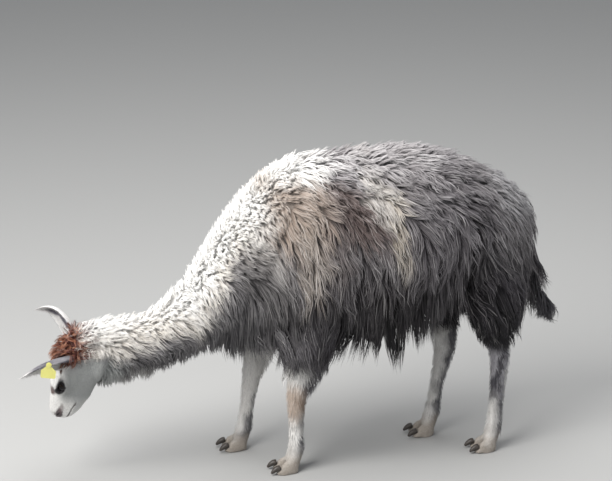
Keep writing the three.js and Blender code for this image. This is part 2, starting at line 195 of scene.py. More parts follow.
def spread(edges, values, weight, rounds):
    """Moves each value towards the mean of its neighbours, weight by weight, some rounds over."""
    count = len(values)
    a, b = edges[:, 0], edges[:, 1]
    degree = np.maximum(np.bincount(a, minlength=count) + np.bincount(b, minlength=count), 1)
    flat = values.ndim == 1
    values = values.reshape(count, -1).copy()
    weight = np.broadcast_to(weight, count)[:, None]
    for _ in range(rounds):
        total = np.empty_like(values)
        for k in range(values.shape[1]):
            column = values[:, k]
            total[:, k] = np.bincount(a, column[b], count) + np.bincount(b, column[a], count)
        values += (total / degree[:, None] - values) * weight
    return values[:, 0] if flat else values


def bvh_of(mesh):
    return BVHTree.FromPolygons(
        [tuple(p) for p in points_of(mesh)],
        [tuple(p.vertices) for p in mesh.polygons],
    )


def shade_smooth(mesh):
    mesh.polygons.foreach_set("use_smooth", np.ones(len(mesh.polygons), bool))


def add_values(mesh, name, kind, key, values):
    """Stores one value or vector for each point of a mesh."""
    made = mesh.attributes.new(name, kind, "POINT")
    made.data.foreach_set(key, values.astype(np.float32).ravel())


def closed_mesh(name, points, faces):
    """A mesh of closed shells, with every face turned outwards."""
    mesh = bpy.data.meshes.new(name)
    mesh.from_pydata(points.tolist(), [], faces)
    bm = bmesh.new()
    bm.from_mesh(mesh)
    bmesh.ops.recalc_face_normals(bm, faces=bm.faces)
    bm.to_mesh(mesh)
    bm.free()
    shade_smooth(mesh)
    return mesh


def clothe(obj, made):
    """Gives a node of the frame one material of its own."""
    obj.data.materials.clear()
    obj.data.materials.append(made)


# ---------------------------------------------------------------- the skin
SKIN_VOXEL = 0.003
SKIN_SHARE = 0.146  # of the faces of the body, kept when it is thinned
HEAD_END, HEAD_START = -0.72, -0.69  # x between which the fine mesh of the head begins
THIGH_LOW = 0.40  # the thighs are smoothed with the trunk down to this level
EAR_SWELL = 0.0022  # added to the ears before the voxels, and taken off again after
WELD = 0.00002  # points closer than this are one
BELLY_LEVEL = 0.75  # the belly is drawn up below this level
BELLY_LIFT, BELLY_FADE = 0.10, 0.15
SOLE_TOP = 0.025
EAR_COAT = 0.0006
# the depth of the coat over the skin, for each name in FLESH
COAT = np.array([0.036, 0.030, 0.004, 0.026, 0.006, 0.006, 0.007, 0.007, EAR_COAT, EAR_COAT])


def coat_depth(points, owner):
    """How deep the coat is over the skin, in metres."""
    x, _, z = from_shoulder(points)
    h = head_local(points)
    crown = step(0.075, 0.015, h[:, 0]) * step(-0.03, 0.03, h[:, 2])
    nape = step(0.02, -0.05, h[:, 0])
    muzzle = step(0.19, 0.27, h[:, 0])
    depth = COAT[owner]
    for start, change in (
        ("leg_front", lambda old: mix(old, 0.022, step(0.36, 0.50, z))),
        ("leg_hind", lambda old: mix(old, 0.036, step(0.40, 0.50, z))),
        ("leg", lambda old: mix(0.0025, old, step(0.03, 0.12, z))),
        ("neck", lambda old: mix(0.024, old, step(-0.70, -0.45, x))),
        ("head", lambda old: mix(mix(old, 0.0015, muzzle), 0.026, np.maximum(crown, nape))),
    ):
        depth = np.where(part_of(owner, start), change(depth), depth)
    return depth


def lift_belly(points, hem):
    """Raises what lies under the hanging hem, so that the belly is where the animal has it."""
    x, _, z = from_shoulder(points)
    along = step(-0.36, -0.16, x) * step(0.60, 0.46, x)
    up = step(BELLY_LEVEL, hem, z) * step(hem - BELLY_FADE, hem, z)
    points[:, 2] += BELLY_LIFT * along * up
    return points


def in_voxels(mesh):
    return modified(mesh, "REMESH", mode="VOXEL", voxel_size=SKIN_VOXEL)


def owners_of(points, bvh, owner_of_face):
    return np.array([owner_of_face[bvh.find_nearest(Vector(p))[2]] for p in points])


def largest_shell(mesh):
    """Drops every loose bit but the biggest one."""
    edges = edges_of(mesh)
    label = np.arange(len(mesh.vertices))
    while True:
        low = label.copy()
        np.minimum.at(low, edges[:, 0], label[edges[:, 1]])
        np.minimum.at(low, edges[:, 1], label[edges[:, 0]])
        low = low[low]
        if (low == label).all():
            break
        label = low
    main = np.bincount(label).argmax()
    bm = bmesh.new()
    bm.from_mesh(mesh)
    loose = [v for v, mine in zip(bm.verts, label == main) if not mine]
    bmesh.ops.delete(bm, geom=loose, context="VERTS")
    bm.to_mesh(mesh)
    bm.free()
    return mesh


def swollen_ears(source, owner_of_face):
    """The same shape with thicker ears, so that their thin walls come whole through the voxels."""
    bm = bmesh.new()
    bm.from_mesh(source)
    kept = [face for face, mine in zip(bm.faces, part_of(owner_of_face, "ear")) if mine]
    # in a fixed order: a set's own order changes from run to run, and the welding with it
    points = sorted({v for face in kept for v in face.verts}, key=lambda v: v.index)
    bmesh.ops.remove_doubles(bm, verts=points, dist=WELD)
    bm.normal_update()
    moved = {v: v.normal.copy() for face in kept if face.is_valid for v in face.verts}
    for vert, normal in moved.items():
        vert.co += normal * EAR_SWELL
    mesh = bpy.data.meshes.new("swollen")
    bm.to_mesh(mesh)
    bm.free()
    return mesh


def bare_skin(source, outer_bvh, owner_of_face):
    """The flesh without its coat: one smooth shell inside the outer shape by the coat's depth."""
    mesh = in_voxels(swollen_ears(source, owner_of_face))
    points, edges = points_of(mesh), edges_of(mesh)
    owner = owners_of(points, outer_bvh, owner_of_face)
    ear = part_of(owner, "ear")
    fleece = part_of(owner, "trunk", "neck", "tail")
    fleece |= part_of(owner, "leg_hind") & (points[:, 2] > THIGH_LOW)
    soft = spread(edges, fleece.astype(float), 1.0, 10)
    points = spread(edges, points, mix(0.35, 0.95, soft), 12)
    points = spread(edges, points, 0.95 * soft, 60)
    set_points(mesh, points)
    depth = np.where(ear, 0.0, coat_depth(points, owner))
    depth = spread(edges, depth, np.where(ear, 0.0, 0.9), 40)
    rounds = 6
    for _ in range(rounds):
        points = points - normals_of(mesh) * depth[:, None] / rounds
        points = spread(edges, points, 0.6 * soft, 3)
        set_points(mesh, points)
    mesh = largest_shell(in_voxels(mesh))
    behind_head = points_of(mesh)[:, 0] - ORIGIN_X > HEAD_START
    mesh = modified(mesh, "DECIMATE", behind_head, ratio=SKIN_SHARE, vertex_group_factor=1000)
    points, edges = points_of(mesh), edges_of(mesh)
    ear = part_of(owners_of(points, outer_bvh, owner_of_face), "ear")
    fine = step(HEAD_START, HEAD_END, points[:, 0] - ORIGIN_X)
    points = spread(edges, points, mix(0.6, 0.3, fine) * np.where(ear, 1.6, 1.0), 8)
    set_points(mesh, points)
    slim = spread(edges, ear.astype(float), 0.6, 3)
    points = points - normals_of(mesh) * (slim * (EAR_SWELL + EAR_COAT))[:, None]
    set_points(mesh, lift_belly(points, TRUNK_LOW[2]))
    return mesh


def stand_on_floor(mesh):
    """Draws the soles down to the floor, which the smoothing had lifted them from."""
    points = points_of(mesh)
    z = points[:, 2]
    gap = z.min() * np.clip(1 - z / SOLE_TOP, 0, None)
    points[:, 2] = z - np.where(z < SOLE_TOP, gap / (1 - z.min() / SOLE_TOP), 0)
    set_points(mesh, points)


def build_skin():
    source, owner_of_face = joined_mesh(FLESH)
    outer_bvh = bvh_of(source)
    mesh = bare_skin(source, outer_bvh, owner_of_face)
    sculpt_face(mesh)
    stand_on_floor(mesh)
    shade_smooth(mesh)
    points, edges = points_of(mesh), edges_of(mesh)
    owner = owners_of(points, outer_bvh, owner_of_face)
    ear = part_of(owner, "ear").astype(float)
    # the coat's depth, which the skin's painted shade reads
    add_values(mesh, "deep", "FLOAT", "value", spread(edges, coat_depth(points, owner), 0.8, 12))
    add_values(mesh, "ear", "FLOAT", "value", spread(edges, ear, 0.6, 3))
    return mesh, owner, outer_bvh


# ---------------------------------------------------------------- the face
BALL_RADIUS = 0.0168  # the seen eyeball is a little smaller than the plain one it stands for
BALL_DEPTH = 0.0060  # and lies this much deeper
LID_LONG, LID_UPPER, LID_LOWER = 0.0160, 0.0120, 0.0098  # half of the opening, along and across
LID_RADIUS = 0.0186
LID_SLANT = math.radians(-14)  # the inner corner sits lower, towards the nose
LID_KNEE = 0.0120  # from here the lids flare out into the orbit
LID_POINTS = 96  # round the opening
LID_THICK = 0.0030
LID_GAPS = (  # how far each ring of the lid lies outside the rim
    -0.0006, -0.0001, 0.0004, 0.0010, 0.0018, 0.0027, 0.0037,
    0.0047, 0.0056, 0.0065, 0.0075, 0.0088, 0.0104, 0.0122,
)
EYE_REGION = 0.044  # the skin is finer this near to an eye
EYE_CLEARANCE = 0.06  # well outside the orbit


def eye_axes(side):
    """Outwards, along the opening towards the nose, and across it towards the brow, for one eye."""
    out = unit(LEFT * side + FORE * 0.20 + NOSE * 0.14)
    along = unit(NOSE - out * float(NOSE @ out))
    brow = np.cross(out, along)
    if brow @ FORE < 0:
        brow = -brow
    c, s = math.cos(LID_SLANT), math.sin(LID_SLANT)
    return out, unit(along * c + brow * s), unit(brow * c - along * s)


def eye_frame(side):
    out, along, brow = eye_axes(side)
    return (EYE_LEFT if side > 0 else EYE_RIGHT) - out * BALL_DEPTH, out, along, brow


def in_eye(points, side):
    """Points in one eye's own frame: along the opening, across it and outwards."""
    middle, out, along, brow = eye_frame(side)
    away = points - middle
    return away @ along, away @ brow, away @ out


def lid_rim():
    """The almond opening, and the way out from it."""
    theta = np.linspace(0, 2 * math.pi, LID_POINTS, endpoint=False)
    c, s = np.cos(theta), np.sin(theta)
    high = np.where(s > 0, LID_UPPER, LID_LOWER)
    almond = 0.62 * c + 0.38 * np.abs(c) ** 2.2 * np.sign(c)
    rim = np.stack([LID_LONG * almond, high * s * (1 - 0.10 * np.abs(c))], 1)
    return theta, rim, unit(np.stack([c / LID_LONG, s / high], 1))


def lid_gap(u, v):
    """How far a place lies outside the rim of the opening; below nought inside it."""
    _, rim, _ = lid_rim()
    gap = np.full(len(u), EYE_CLEARANCE)
    near = np.hypot(u, v) < 0.05
    spots = np.stack([u[near], v[near]], 1)
    apart = np.linalg.norm(spots[:, None] - rim[None], axis=2)
    k = apart.argmin(1)
    inside = np.linalg.norm(spots, axis=1) < np.linalg.norm(rim[k], axis=1)
    gap[near] = np.where(inside, -1, 1) * apart[np.arange(len(k)), k]
    return gap


def mound(d):
    """Height of lids and orbit over the middle of the eye, at a distance from its axis."""
    knee = math.sqrt(LID_RADIUS**2 - LID_KNEE**2)
    steep, level, reach = LID_KNEE / knee, 0.55, 0.008
    past = np.maximum(d - LID_KNEE, 0)
    flare = knee - level * past - (steep - level) * reach * (1 - np.exp(-past / reach))
    dome = np.sqrt(np.maximum(LID_RADIUS**2 - np.minimum(d, LID_KNEE) ** 2, 0))
    return np.where(d < LID_KNEE, dome, flare)


def refine_face(mesh):
    """Halves the edges of the skin round the muzzle and the eyes."""
    points = points_of(mesh)
    h = head_local(points)
    close = (h[:, 0] > 0.205) & (h[:, 0] < 0.33) & (np.abs(h[:, 1]) < 0.08) & (h[:, 2] > -0.09)
    for eye in (EYE_LEFT, EYE_RIGHT):
        close |= np.linalg.norm(points - eye, axis=1) < EYE_REGION
    bm = bmesh.new()
    bm.from_mesh(mesh)
    edges = [edge for edge in bm.edges if all(close[v.index] for v in edge.verts)]
    bmesh.ops.subdivide_edges(bm, edges=edges, cuts=1, use_grid_fill=True, smooth=0.0)
    bmesh.ops.triangulate(bm, faces=[face for face in bm.faces if len(face.verts) > 4])
    bm.to_mesh(mesh)
    bm.free()


def face_relief(x, y, z):
    """How far each place of the head's own frame stands out for lips, nostrils and bones."""
    push = np.zeros(len(x))
    mouth = step(0.222, 0.236, x) * step(0.318, 0.306, x)
    gap = z - (0.004 - 0.30 * (0.300 - x))
    push -= 0.0034 * mouth * bell(gap, 0.0016)
    push += 0.0016 * mouth * (bell(gap - 0.0062, 0.0040) + 0.8 * bell(gap + 0.0058, 0.0038))
    cleft = 0.0026 * step(0.288, 0.300, x) * bell(y, 0.0016)
    push -= cleft * step(-0.001, 0.006, z) * step(0.042, 0.034, z)
    slit_x = (x - 0.292) - 0.45 * (z - 0.040)
    slit_z = z - 0.038 - 0.35 * (x - 0.292)
    slit = np.sqrt((slit_x / 0.0120) ** 2 + (slit_z / 0.0040) ** 2)
    push -= 0.0085 * bell(slit, 0.80) * (y > 0.008)
    push += 0.0026 * bell(slit - 1.75, 0.55) * (y > 0.008)
    for middle, size, height, beside in (
        ((0.135, 0.078), (0.034, 0.016), 0.0015, step(0.030, 0.042, y)),  # the brow
        ((0.188, 0.045), (0.020, 0.010), -0.0026, y > 0.03),  # the pit before the eye
        ((0.120, 0.012), (0.070, 0.014), 0.0030, y > 0.03),  # the cheek bone
        ((0.195, 0.005), (0.040, 0.022), -0.0032, y > 0.02),  # the hollow under it
        ((0.085, -0.060), (0.050, 0.035), 0.0040, y > 0.03),  # the jaw
    ):
        along, across = (x - middle[0]) / size[0], (z - middle[1]) / size[1]
        push += height * bell(np.sqrt(along * along + across * across), 1.0) * beside
    chin = (np.stack([x, y, z], 1) - (0.262, 0, -0.040)) / (0.024, 0.022, 0.016)
    push += 0.0030 * bell(np.linalg.norm(chin, axis=1), 1.0)
    return push


def sculpt_face(mesh):
    """Adds the lips, nostrils, brow, cheek and orbits to the skin."""
    refine_face(mesh)
    points = points_of(mesh)
    h = head_local(points)
    x, y, z = h[:, 0], np.abs(h[:, 1]), h[:, 2]
    on_head = (points[:, 0] - ORIGIN_X < -0.70) & (x > 0.02)
    push = face_relief(x, y, z) * on_head
    points = points + normals_of(mesh) * push[:, None]
    for side, _ in EYES:
        _, out, _, _ = eye_frame(side)
        u, v, w = in_eye(points, side)
        d = np.hypot(u, v)
        top, soft = np.maximum(w, mound(d)), 0.0025
        blend = soft * np.log(np.exp((w - top) / soft) + np.exp((mound(d) - top) / soft))
        top = top + blend * step(0.013, 0.022, d)
        share = step(0.052, 0.034, d) * (w > -0.022)
        points = points + out * ((top - w) * share)[:, None]
    edges = edges_of(mesh)
    points = spread(edges, points, np.where(on_head & (x > 0.19), 0.25, 0.0), 2)
    ease = np.zeros(len(x))
    for side, _ in EYES:
        u, v, w = in_eye(points, side)
        d = np.hypot(u, v)
        ease = np.maximum(ease, step(0.018, 0.028, d) * step(0.060, 0.044, d) * (w > -0.03))
    set_points(mesh, spread(edges, points, 0.85 * ease * on_head, 24))


def open_eyes(mesh):
    """Lowers the skin under the lids, and draws it in behind the opening."""
    points = points_of(mesh)
    for side, _ in EYES:
        middle, out, _, _ = eye_frame(side)
        u, v, w = in_eye(points, side)
        gap = lid_gap(u, v)
        front = w > -0.004
        points = points - out * (0.0014 * step(0.0095, 0.0070, gap) * front)[:, None]
        away = points - middle
        reach = np.linalg.norm(away, axis=1)
        drawn = middle + away * (np.minimum(reach, 0.0140) / reach)[:, None]
        points = np.where((front & (gap < 0.0028))[:, None], drawn, points)
    set_points(mesh, points)


def lid_mesh(side, bvh):
    """A closed ring of eyelid: from the rim of the opening over the eyeball, and under the skin."""
    middle, out, along, brow = eye_frame(side)
    theta, rim, outward = lid_rim()
    upper = step(-0.1, 0.5, np.sin(theta))
    rings = []
    for number, gap in enumerate(LID_GAPS):
        u, v = (rim + outward * gap).T
        d = np.hypot(u, v)
        radius = LID_RADIUS - 0.0005 * math.exp(-gap / 0.0006)
        if number == 0:
            radius = BALL_RADIUS + 0.0003
        ball = np.sqrt(np.maximum(radius**2 - d**2, 0.0))
        skin_height = np.empty(LID_POINTS)
        for k in range(LID_POINTS):
            start = middle + out * EYE_CLEARANCE + along * u[k] + brow * v[k]
            hit = bvh.ray_cast(Vector(start), Vector(-out), 2 * EYE_CLEARANCE)
            skin_height[k] = EYE_CLEARANCE - hit[3] if hit[0] is not None else ball[k]
        height = mix(ball, skin_height, step(0.0005, 0.0060, gap))
        swell, crease = bell(gap - 0.0022, 0.0016), bell(gap - 0.0062, 0.0011)
        height = height + 0.0007 * swell * mix(0.5, 1.0, upper)
        height -= 0.0012 * crease * mix(0.35, 1.0, upper)
        height -= 0.0008 * step(0.0082, 0.0118, gap)
        rings.append(middle + out * height[:, None] + along * u[:, None] + brow * v[:, None])
    loop = rings + [ring - out * LID_THICK for ring in rings[:1:-1]]
    faces = ring_faces(len(loop), LID_POINTS, around=True)
    return closed_mesh("lid", np.concatenate(loop), faces), rings[1][np.sin(theta) > 0.12]


def ring_faces(rings, sides, around=False):
    """The four-sided faces between rings of points, and from the last ring to the first."""
    faces = []
    for j in range(rings if around else rings - 1):
        here, there = j * sides, (j + 1) % rings * sides
        for k in range(sides):
            m = (k + 1) % sides
            faces.append((here + k, here + m, there + m, there + k))
    return faces


def tube(path, radii, sides):
    """A closed tapering tube along a path, as points and faces."""
    path = np.asarray(path, float)
    ahead = unit(np.gradient(path, axis=0))
    across = unit(np.cross(ahead, unit(np.array([0.3, 0.5, 0.81]))))
    above = np.cross(ahead, across)
    angle = np.linspace(0, 2 * math.pi, sides, endpoint=False)
    c, s = np.cos(angle)[None, :, None], np.sin(angle)[None, :, None]
    ring = across[:, None] * c + above[:, None] * s
    points = (path[:, None] + ring * np.asarray(radii)[:, None, None]).reshape(-1, 3)
    ends = [tuple(range(sides))[::-1], tuple(range((len(path) - 1) * sides, len(path) * sides))]
    return points, ends + ring_faces(len(path), sides)


def merged(name, pieces):
    points, faces, start = [], [], 0
    for p, f in pieces:
        points.append(p)
        faces += [tuple(i + start for i in face) for face in f]
        start += len(p)
    return closed_mesh(name, np.concatenate(points), faces)


def build_lashes(rims):
    rng = np.random.default_rng(83)
    radii = np.array([0.42, 0.42, 0.36, 0.28, 0.18, 0.06]) * 0.001
    t = np.linspace(0, 1, len(radii))[:, None]
    pieces = []
    for side, rim in rims:
        middle, out, along, brow = eye_frame(side)
        for root in np.repeat(rim, 2, axis=0):
            start = root + along * rng.normal(0, 0.0005) - out * 0.0006
            fan = (root - middle) @ along / LID_LONG
            length = rng.uniform(0.014, 0.021) * (1 - 0.25 * abs(fan))
            way = out * 0.95 + brow * 0.25 + along * (0.55 * fan + rng.normal(0, 0.12))
            path = start + unit(way) * length * t + (brow * 0.25 - out * 0.10) * length * t**2
            pieces.append(tube(path, radii, 5))
    return merged("lashes", pieces)


def build_eye(name, side):
    """An eyeball with a raised cornea, and its pole outwards."""
    eye, out, along, brow = eye_frame(side)
    rows, columns = 40, 48
    lon = np.linspace(0, 2 * math.pi, columns, endpoint=False)[:, None]
    points = []
    for r in range(rows + 1):
        lat = math.pi * r / rows
        radius = BALL_RADIUS + 0.0011 * math.exp(-((lat / 0.62) ** 4))
        round_axis = along * np.cos(lon) + brow * np.sin(lon)
        ring = eye + (out * math.cos(lat) + math.sin(lat) * round_axis) * radius
        points.append(ring[:1] if r in (0, rows) else ring)
    last = 1 + (rows - 1) * columns
    faces = [tuple(1 + i for i in face) for face in ring_faces(rows - 1, columns)]
    for k in range(columns):
        m = (k + 1) % columns
        faces += [(0, 1 + k, 1 + m), (last, last - columns + m, last - columns + k)]
    return closed_mesh(name, np.concatenate(points), faces)


def eye_material(name, side):
    """A nearly black eye: a brown iris with a long level pupil, and a dark white."""
    made, g, out = material(name)
    eye, *axes = eye_frame(side)
    at = g.vector("SUBTRACT", g.position(), tuple(eye))
    w, u, v = (g.vector("DOT_PRODUCT", at, tuple(axis)) for axis in axes)
    reach = g.vector("LENGTH", g.combine(u, v, 0))
    turns = g.math("MULTIPLY", g.math("ARCTAN2", v, u), 9.0)
    fibre = g.noise(g.combine(turns, g.math("MULTIPLY", reach, 160.0), 0), 1.0, 3.0)[0]
    iris = g.mix(fibre, (0.004, 0.003, 0.002), (0.016, 0.009, 0.005))
    white = g.mix(g.noise(at, 300, 2)[0], (0.030, 0.020, 0.016), (0.075, 0.052, 0.042))
    color = g.mix(g.ramp(reach, 0.0142, 0.0156), iris, white)
    rim = g.math("MULTIPLY", g.ramp(reach, 0.0122, 0.0140), g.ramp(reach, 0.0165, 0.0148))
    color = g.mix(rim, color, (0.006, 0.004, 0.004))
    long, high = g.math("DIVIDE", u, 0.0080), g.math("DIVIDE", v, 0.0042)
    pupil = g.ramp(g.vector("LENGTH", g.combine(long, high, 0)), 1.1, 0.9)
    color = g.mix(g.math("MULTIPLY", pupil, g.ramp(w, 0.0, 0.005)), color, (0.003, 0.003, 0.005))
    g.put(out["Base Color"], color)
    out["Roughness"].default_value = 0.06
    out["Specular IOR Level"].default_value = 0.36
    out["IOR"].default_value = 1.376
    return made


def horn_material():
    made, g, out = material("horn")
    position = g.position()
    rings = g.noise(g.stretch(position, (420, 40, 90)), 1.0, 3.0, 0.5)[0]
    spots = g.noise(position, 45, 3.0)[0]
    color = g.mix(rings, (0.030, 0.025, 0.022), (0.060, 0.050, 0.043))
    color = g.mix(g.ramp(spots, 0.50, 0.80, 0.0, 0.6), color, (0.110, 0.092, 0.076))
    worn = g.ramp(g.separate(position)[2], 0.010, 0.001, 0.0, 0.5)
    color = g.mix(worn, color, (0.13, 0.11, 0.09))
    g.put(out["Base Color"], color)
    out["Roughness"].default_value = 0.45
    g.put(out["Normal"], g.bump(rings, 0.20, 0.0004))
    return made


def tag_material():
    made, g, out = material("tag")
    position = g.position()
    cloud = g.noise(position, 60, 3.0)[0]
    grain = g.noise(position, 1400, 2.0)[0]
    scuff = g.noise(g.stretch(position, (300, 300, 2200)), 1.0, 4.0, 0.65)[0]
    color = g.mix(cloud, (0.52, 0.50, 0.135), (0.60, 0.58, 0.20))
    color = g.mix(g.ramp(scuff, 0.62, 0.78, 0.0, 0.35), color, (0.76, 0.74, 0.50))
    dirt = g.noise(position, 35, 4.0, 0.6)[0]
    color = g.mix(g.ramp(dirt, 0.58, 0.80, 0.0, 0.45), color, (0.34, 0.27, 0.10))
    g.put(out["Base Color"], color)
    g.put(out["Roughness"], g.ramp(scuff, 0.3, 0.8, 0.34, 0.55))
    out["Subsurface Weight"].default_value = 0.08
    out["Subsurface Radius"].default_value = (0.004, 0.003, 0.001)
    g.put(out["Normal"], g.bump(grain, 0.15, 0.0002))
    return made


def lash_material():
    made, g, out = material("lash")
    shade = g.noise(g.position(), 500, 2.0)[0]
    g.put(out["Base Color"], g.mix(shade, (0.010, 0.008, 0.008), (0.022, 0.0176, 0.0176)))
    out["Roughness"].default_value = 0.5
    return made


def add_eyes_and_lids():
    """Puts in the eyeballs and lashes, and joins the lids to the skin."""
    rims, lids = [], []
    bvh = bvh_of(skin_mesh)
    for side, node in EYES:
        lid, upper = lid_mesh(side, bvh)
        lids.append(lid)
        rims.append((side, upper))
        ball = new_object(node + "_ball", build_eye(node + "_ball", side))
        ball.data.materials.append(eye_material(node + "_ball", side))
        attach(ball, "root")
        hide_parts(node)
    open_eyes(skin_mesh)
    lashes = new_object("lashes", build_lashes(rims))
    lashes.data.materials.append(lash_material())
    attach(lashes, "root")
    for number, lid in enumerate(lids):
        lid.materials.append(SKIN)
        piece = new_object("lid_%d" % number, lid)
        with bpy.context.temp_override(
            active_object=skin, object=skin, selected_editable_objects=[skin, piece]
        ):
            bpy.ops.object.join()


def finish_nails_and_tag():
    horn = horn_material()
    for name in NAILS:
        nail = NODES[name]
        nail.modifiers.new("weld", "WELD").merge_threshold = WELD
        smooth = nail.modifiers.new("smooth", "SUBSURF")
        smooth.levels = smooth.render_levels = 2
        clothe(nail, horn)
        shade_smooth(nail.data)
    tag = NODES["ear_tag"]
    bevel = tag.modifiers.new("bevel", "BEVEL")
    bevel.width = 0.0005
    bevel.segments = 2
    bevel.limit_method = "ANGLE"
    clothe(tag, tag_material())


skin_mesh, skin_owner, outer_bvh = build_skin()
skin = new_object("skin", skin_mesh)
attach(skin, "root")
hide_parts(*FLESH)

# ---------------------------------------------------------------- the lie of the coat
class Ripple:
    """A smooth wandering value, from a few sine waves of about one size."""

    def __init__(self, size, seed, waves=7):
        rng = np.random.default_rng(seed)
        length = size * rng.uniform(0.7, 1.6, waves)
        self.k = unit(rng.normal(size=(waves, 3))) * (2 * math.pi / length)[:, None]
        self.phase = rng.uniform(0, 2 * math.pi, waves)

    def __call__(self, points):
        return np.sin(points @ self.k.T + self.phase).sum(1) / math.sqrt(len(self.phase) / 2)


SWAY = Ripple(0.16, 11)
SWAY_FINE = Ripple(0.055, 12)
LIFT = Ripple(0.09, 13)
DOWN = np.array([0.0, 0.0, -1.0])
NECK_RISE = (  # x along the neck, and how steeply it rises there in degrees
    (-0.85, -0.70, -0.58, -0.42, -0.28, -0.10, 0.05),
    (8, 4, 22, 44, 52, 34, 6),
)
CROWN_PARTING = -0.012  # across the poll: the topknot falls forwards from here, the mane backwards
EAR_LINES = (  # the root and the tip of each ear
    ("ear_left", (-0.854, -0.060, 0.472), (-1.050, -0.096, 0.434)),
    ("ear_right", (-0.836, 0.054, 0.508), (-0.961, 0.096, 0.613)),
)


def neck_way(x):
    """The neck's own direction, from the head to the shoulder, at a place along it."""
    rise = np.radians(np.interp(x, *NECK_RISE))
    return np.stack([np.cos(rise), np.zeros_like(rise), np.sin(rise)], -1)


def crown_share(points):
    """1 in the topknot and the nape, 0 on the face."""
    h = head_local(points)
    topknot = step(0.095, 0.045, h[:, 0]) * step(-0.02, 0.04, h[:, 2])
    return np.maximum(topknot, step(0.03, -0.03, h[:, 0]))


def turned(way, other, share):
    """A direction, drawn by some share of the way to another one."""
    return way + (other - way) * share[:, None]


def trunk_way(x, side, z):
    """Back over the spine, then turning down the flank, and swept back on the rump."""
    rear = step(0.48, 0.72, x)
    ahead = mix(0.10, 1.25, step(0.82, 1.06, z))
    back = mix(ahead, mix(0.35, 1.1, step(0.50, 0.98, z)), rear)
    back = back + 0.35 * step(0.60, 0.72, x) * step(0.66, 0.54, z)
    return np.stack([back, 0.55 * side, -np.ones_like(x)], -1)


def throat_way(x, side, z):
    """Down across the neck and towards the body."""
    fall = mix(1.0, 0.75, step(-0.45, -0.65, x))
    front = step(0.80, 0.60, z) * step(-0.46, -0.30, x)
    along = neck_way(x) * mix(0.95, 0.15, front)[:, None]
    return along + DOWN * fall[:, None] + np.stack([0 * x, 0.25 * side, 0 * x], -1)


def head_way(points):
    """From the nose up to the poll, round the cheek, and forwards or backwards from the parting."""
    h = head_local(points)
    face = (
        -NOSE * np.ones((len(h), 1))
        + LEFT * (0.5 * np.clip(h[:, 1] / 0.03, -1, 1))[:, None]
        - FORE * (0.35 * step(0.03, -0.05, h[:, 2]))[:, None]
    )
    jaw = step(0.06, 0.0, h[:, 0]) * step(0.04, -0.02, h[:, 2])
    face = face + DOWN * (0.7 * jaw)[:, None]
    aside = LEFT * (0.45 * np.clip(h[:, 1] / 0.05, -1, 1))[:, None]
    top = NOSE * 0.75 + FORE * 0.25 + aside
    fall = 0.45 * np.clip(np.abs(h[:, 1]) / 0.05, 0, 1)
    nape = neck_way(points[:, 0] - ORIGIN_X) * 0.9 + DOWN * fall[:, None]
    top = turned(top, nape, step(CROWN_PARTING + 0.008, CROWN_PARTING - 0.008, h[:, 0]))
    return turned(face, top, crown_share(points))


def flow(points, normals, owner):
    """Where a hair of each owner's region points, along the skin."""
    x, y, z = from_shoulder(points)
    side = np.clip(y / 0.05, -1, 1)
    way = turned(trunk_way(x, side, z), throat_way(x, side, z), step(-0.06, -0.26, x))
    leg = part_of(owner, "leg")
    low = step(0.52, 0.42, z)
    leg_way = np.stack([mix(0.25, 0.12, low), 0 * x, -np.ones_like(x)], -1)
    way = np.where((leg & (z < 0.52))[:, None], turned(way, leg_way, low), way)
    foot_way = np.array([-1.0, 0, -0.35])
    way = np.where(leg[:, None], turned(way, foot_way, step(0.075, 0.04, z)), way)
    tail_way = np.stack([mix(0.10, 0.55, step(0.62, 0.50, z)), 0.2 * side, -np.ones_like(x)], -1)
    way = np.where(part_of(owner, "tail")[:, None], tail_way, way)
    on_head = part_of(owner, "head")
    way = np.where(on_head[:, None], head_way(points), way)
    for name, root, tip in EAR_LINES:
        way = np.where(part_of(owner, name)[:, None], unit(np.array(tip) - np.array(root)), way)
    turn = (0.16 * SWAY(points) + 0.14 * SWAY_FINE(points)) * np.where(on_head, 0.5, 1.0)
    way = unit(way - normals * dot(way, normals)[:, None])
    across = np.cross(normals, way)
    return unit(way * np.cos(turn)[:, None] + across * np.sin(turn)[:, None])


# ---------------------------------------------------------------- roots on the skin
def triangles_of(mesh):
    mesh.calc_loop_triangles()
    out = np.empty(len(mesh.loop_triangles) * 3, np.int32)
    mesh.loop_triangles.foreach_get("vertices", out)
    return out.reshape(-1, 3)


CLEAR = 0.0005  # a ray starts this far over its root


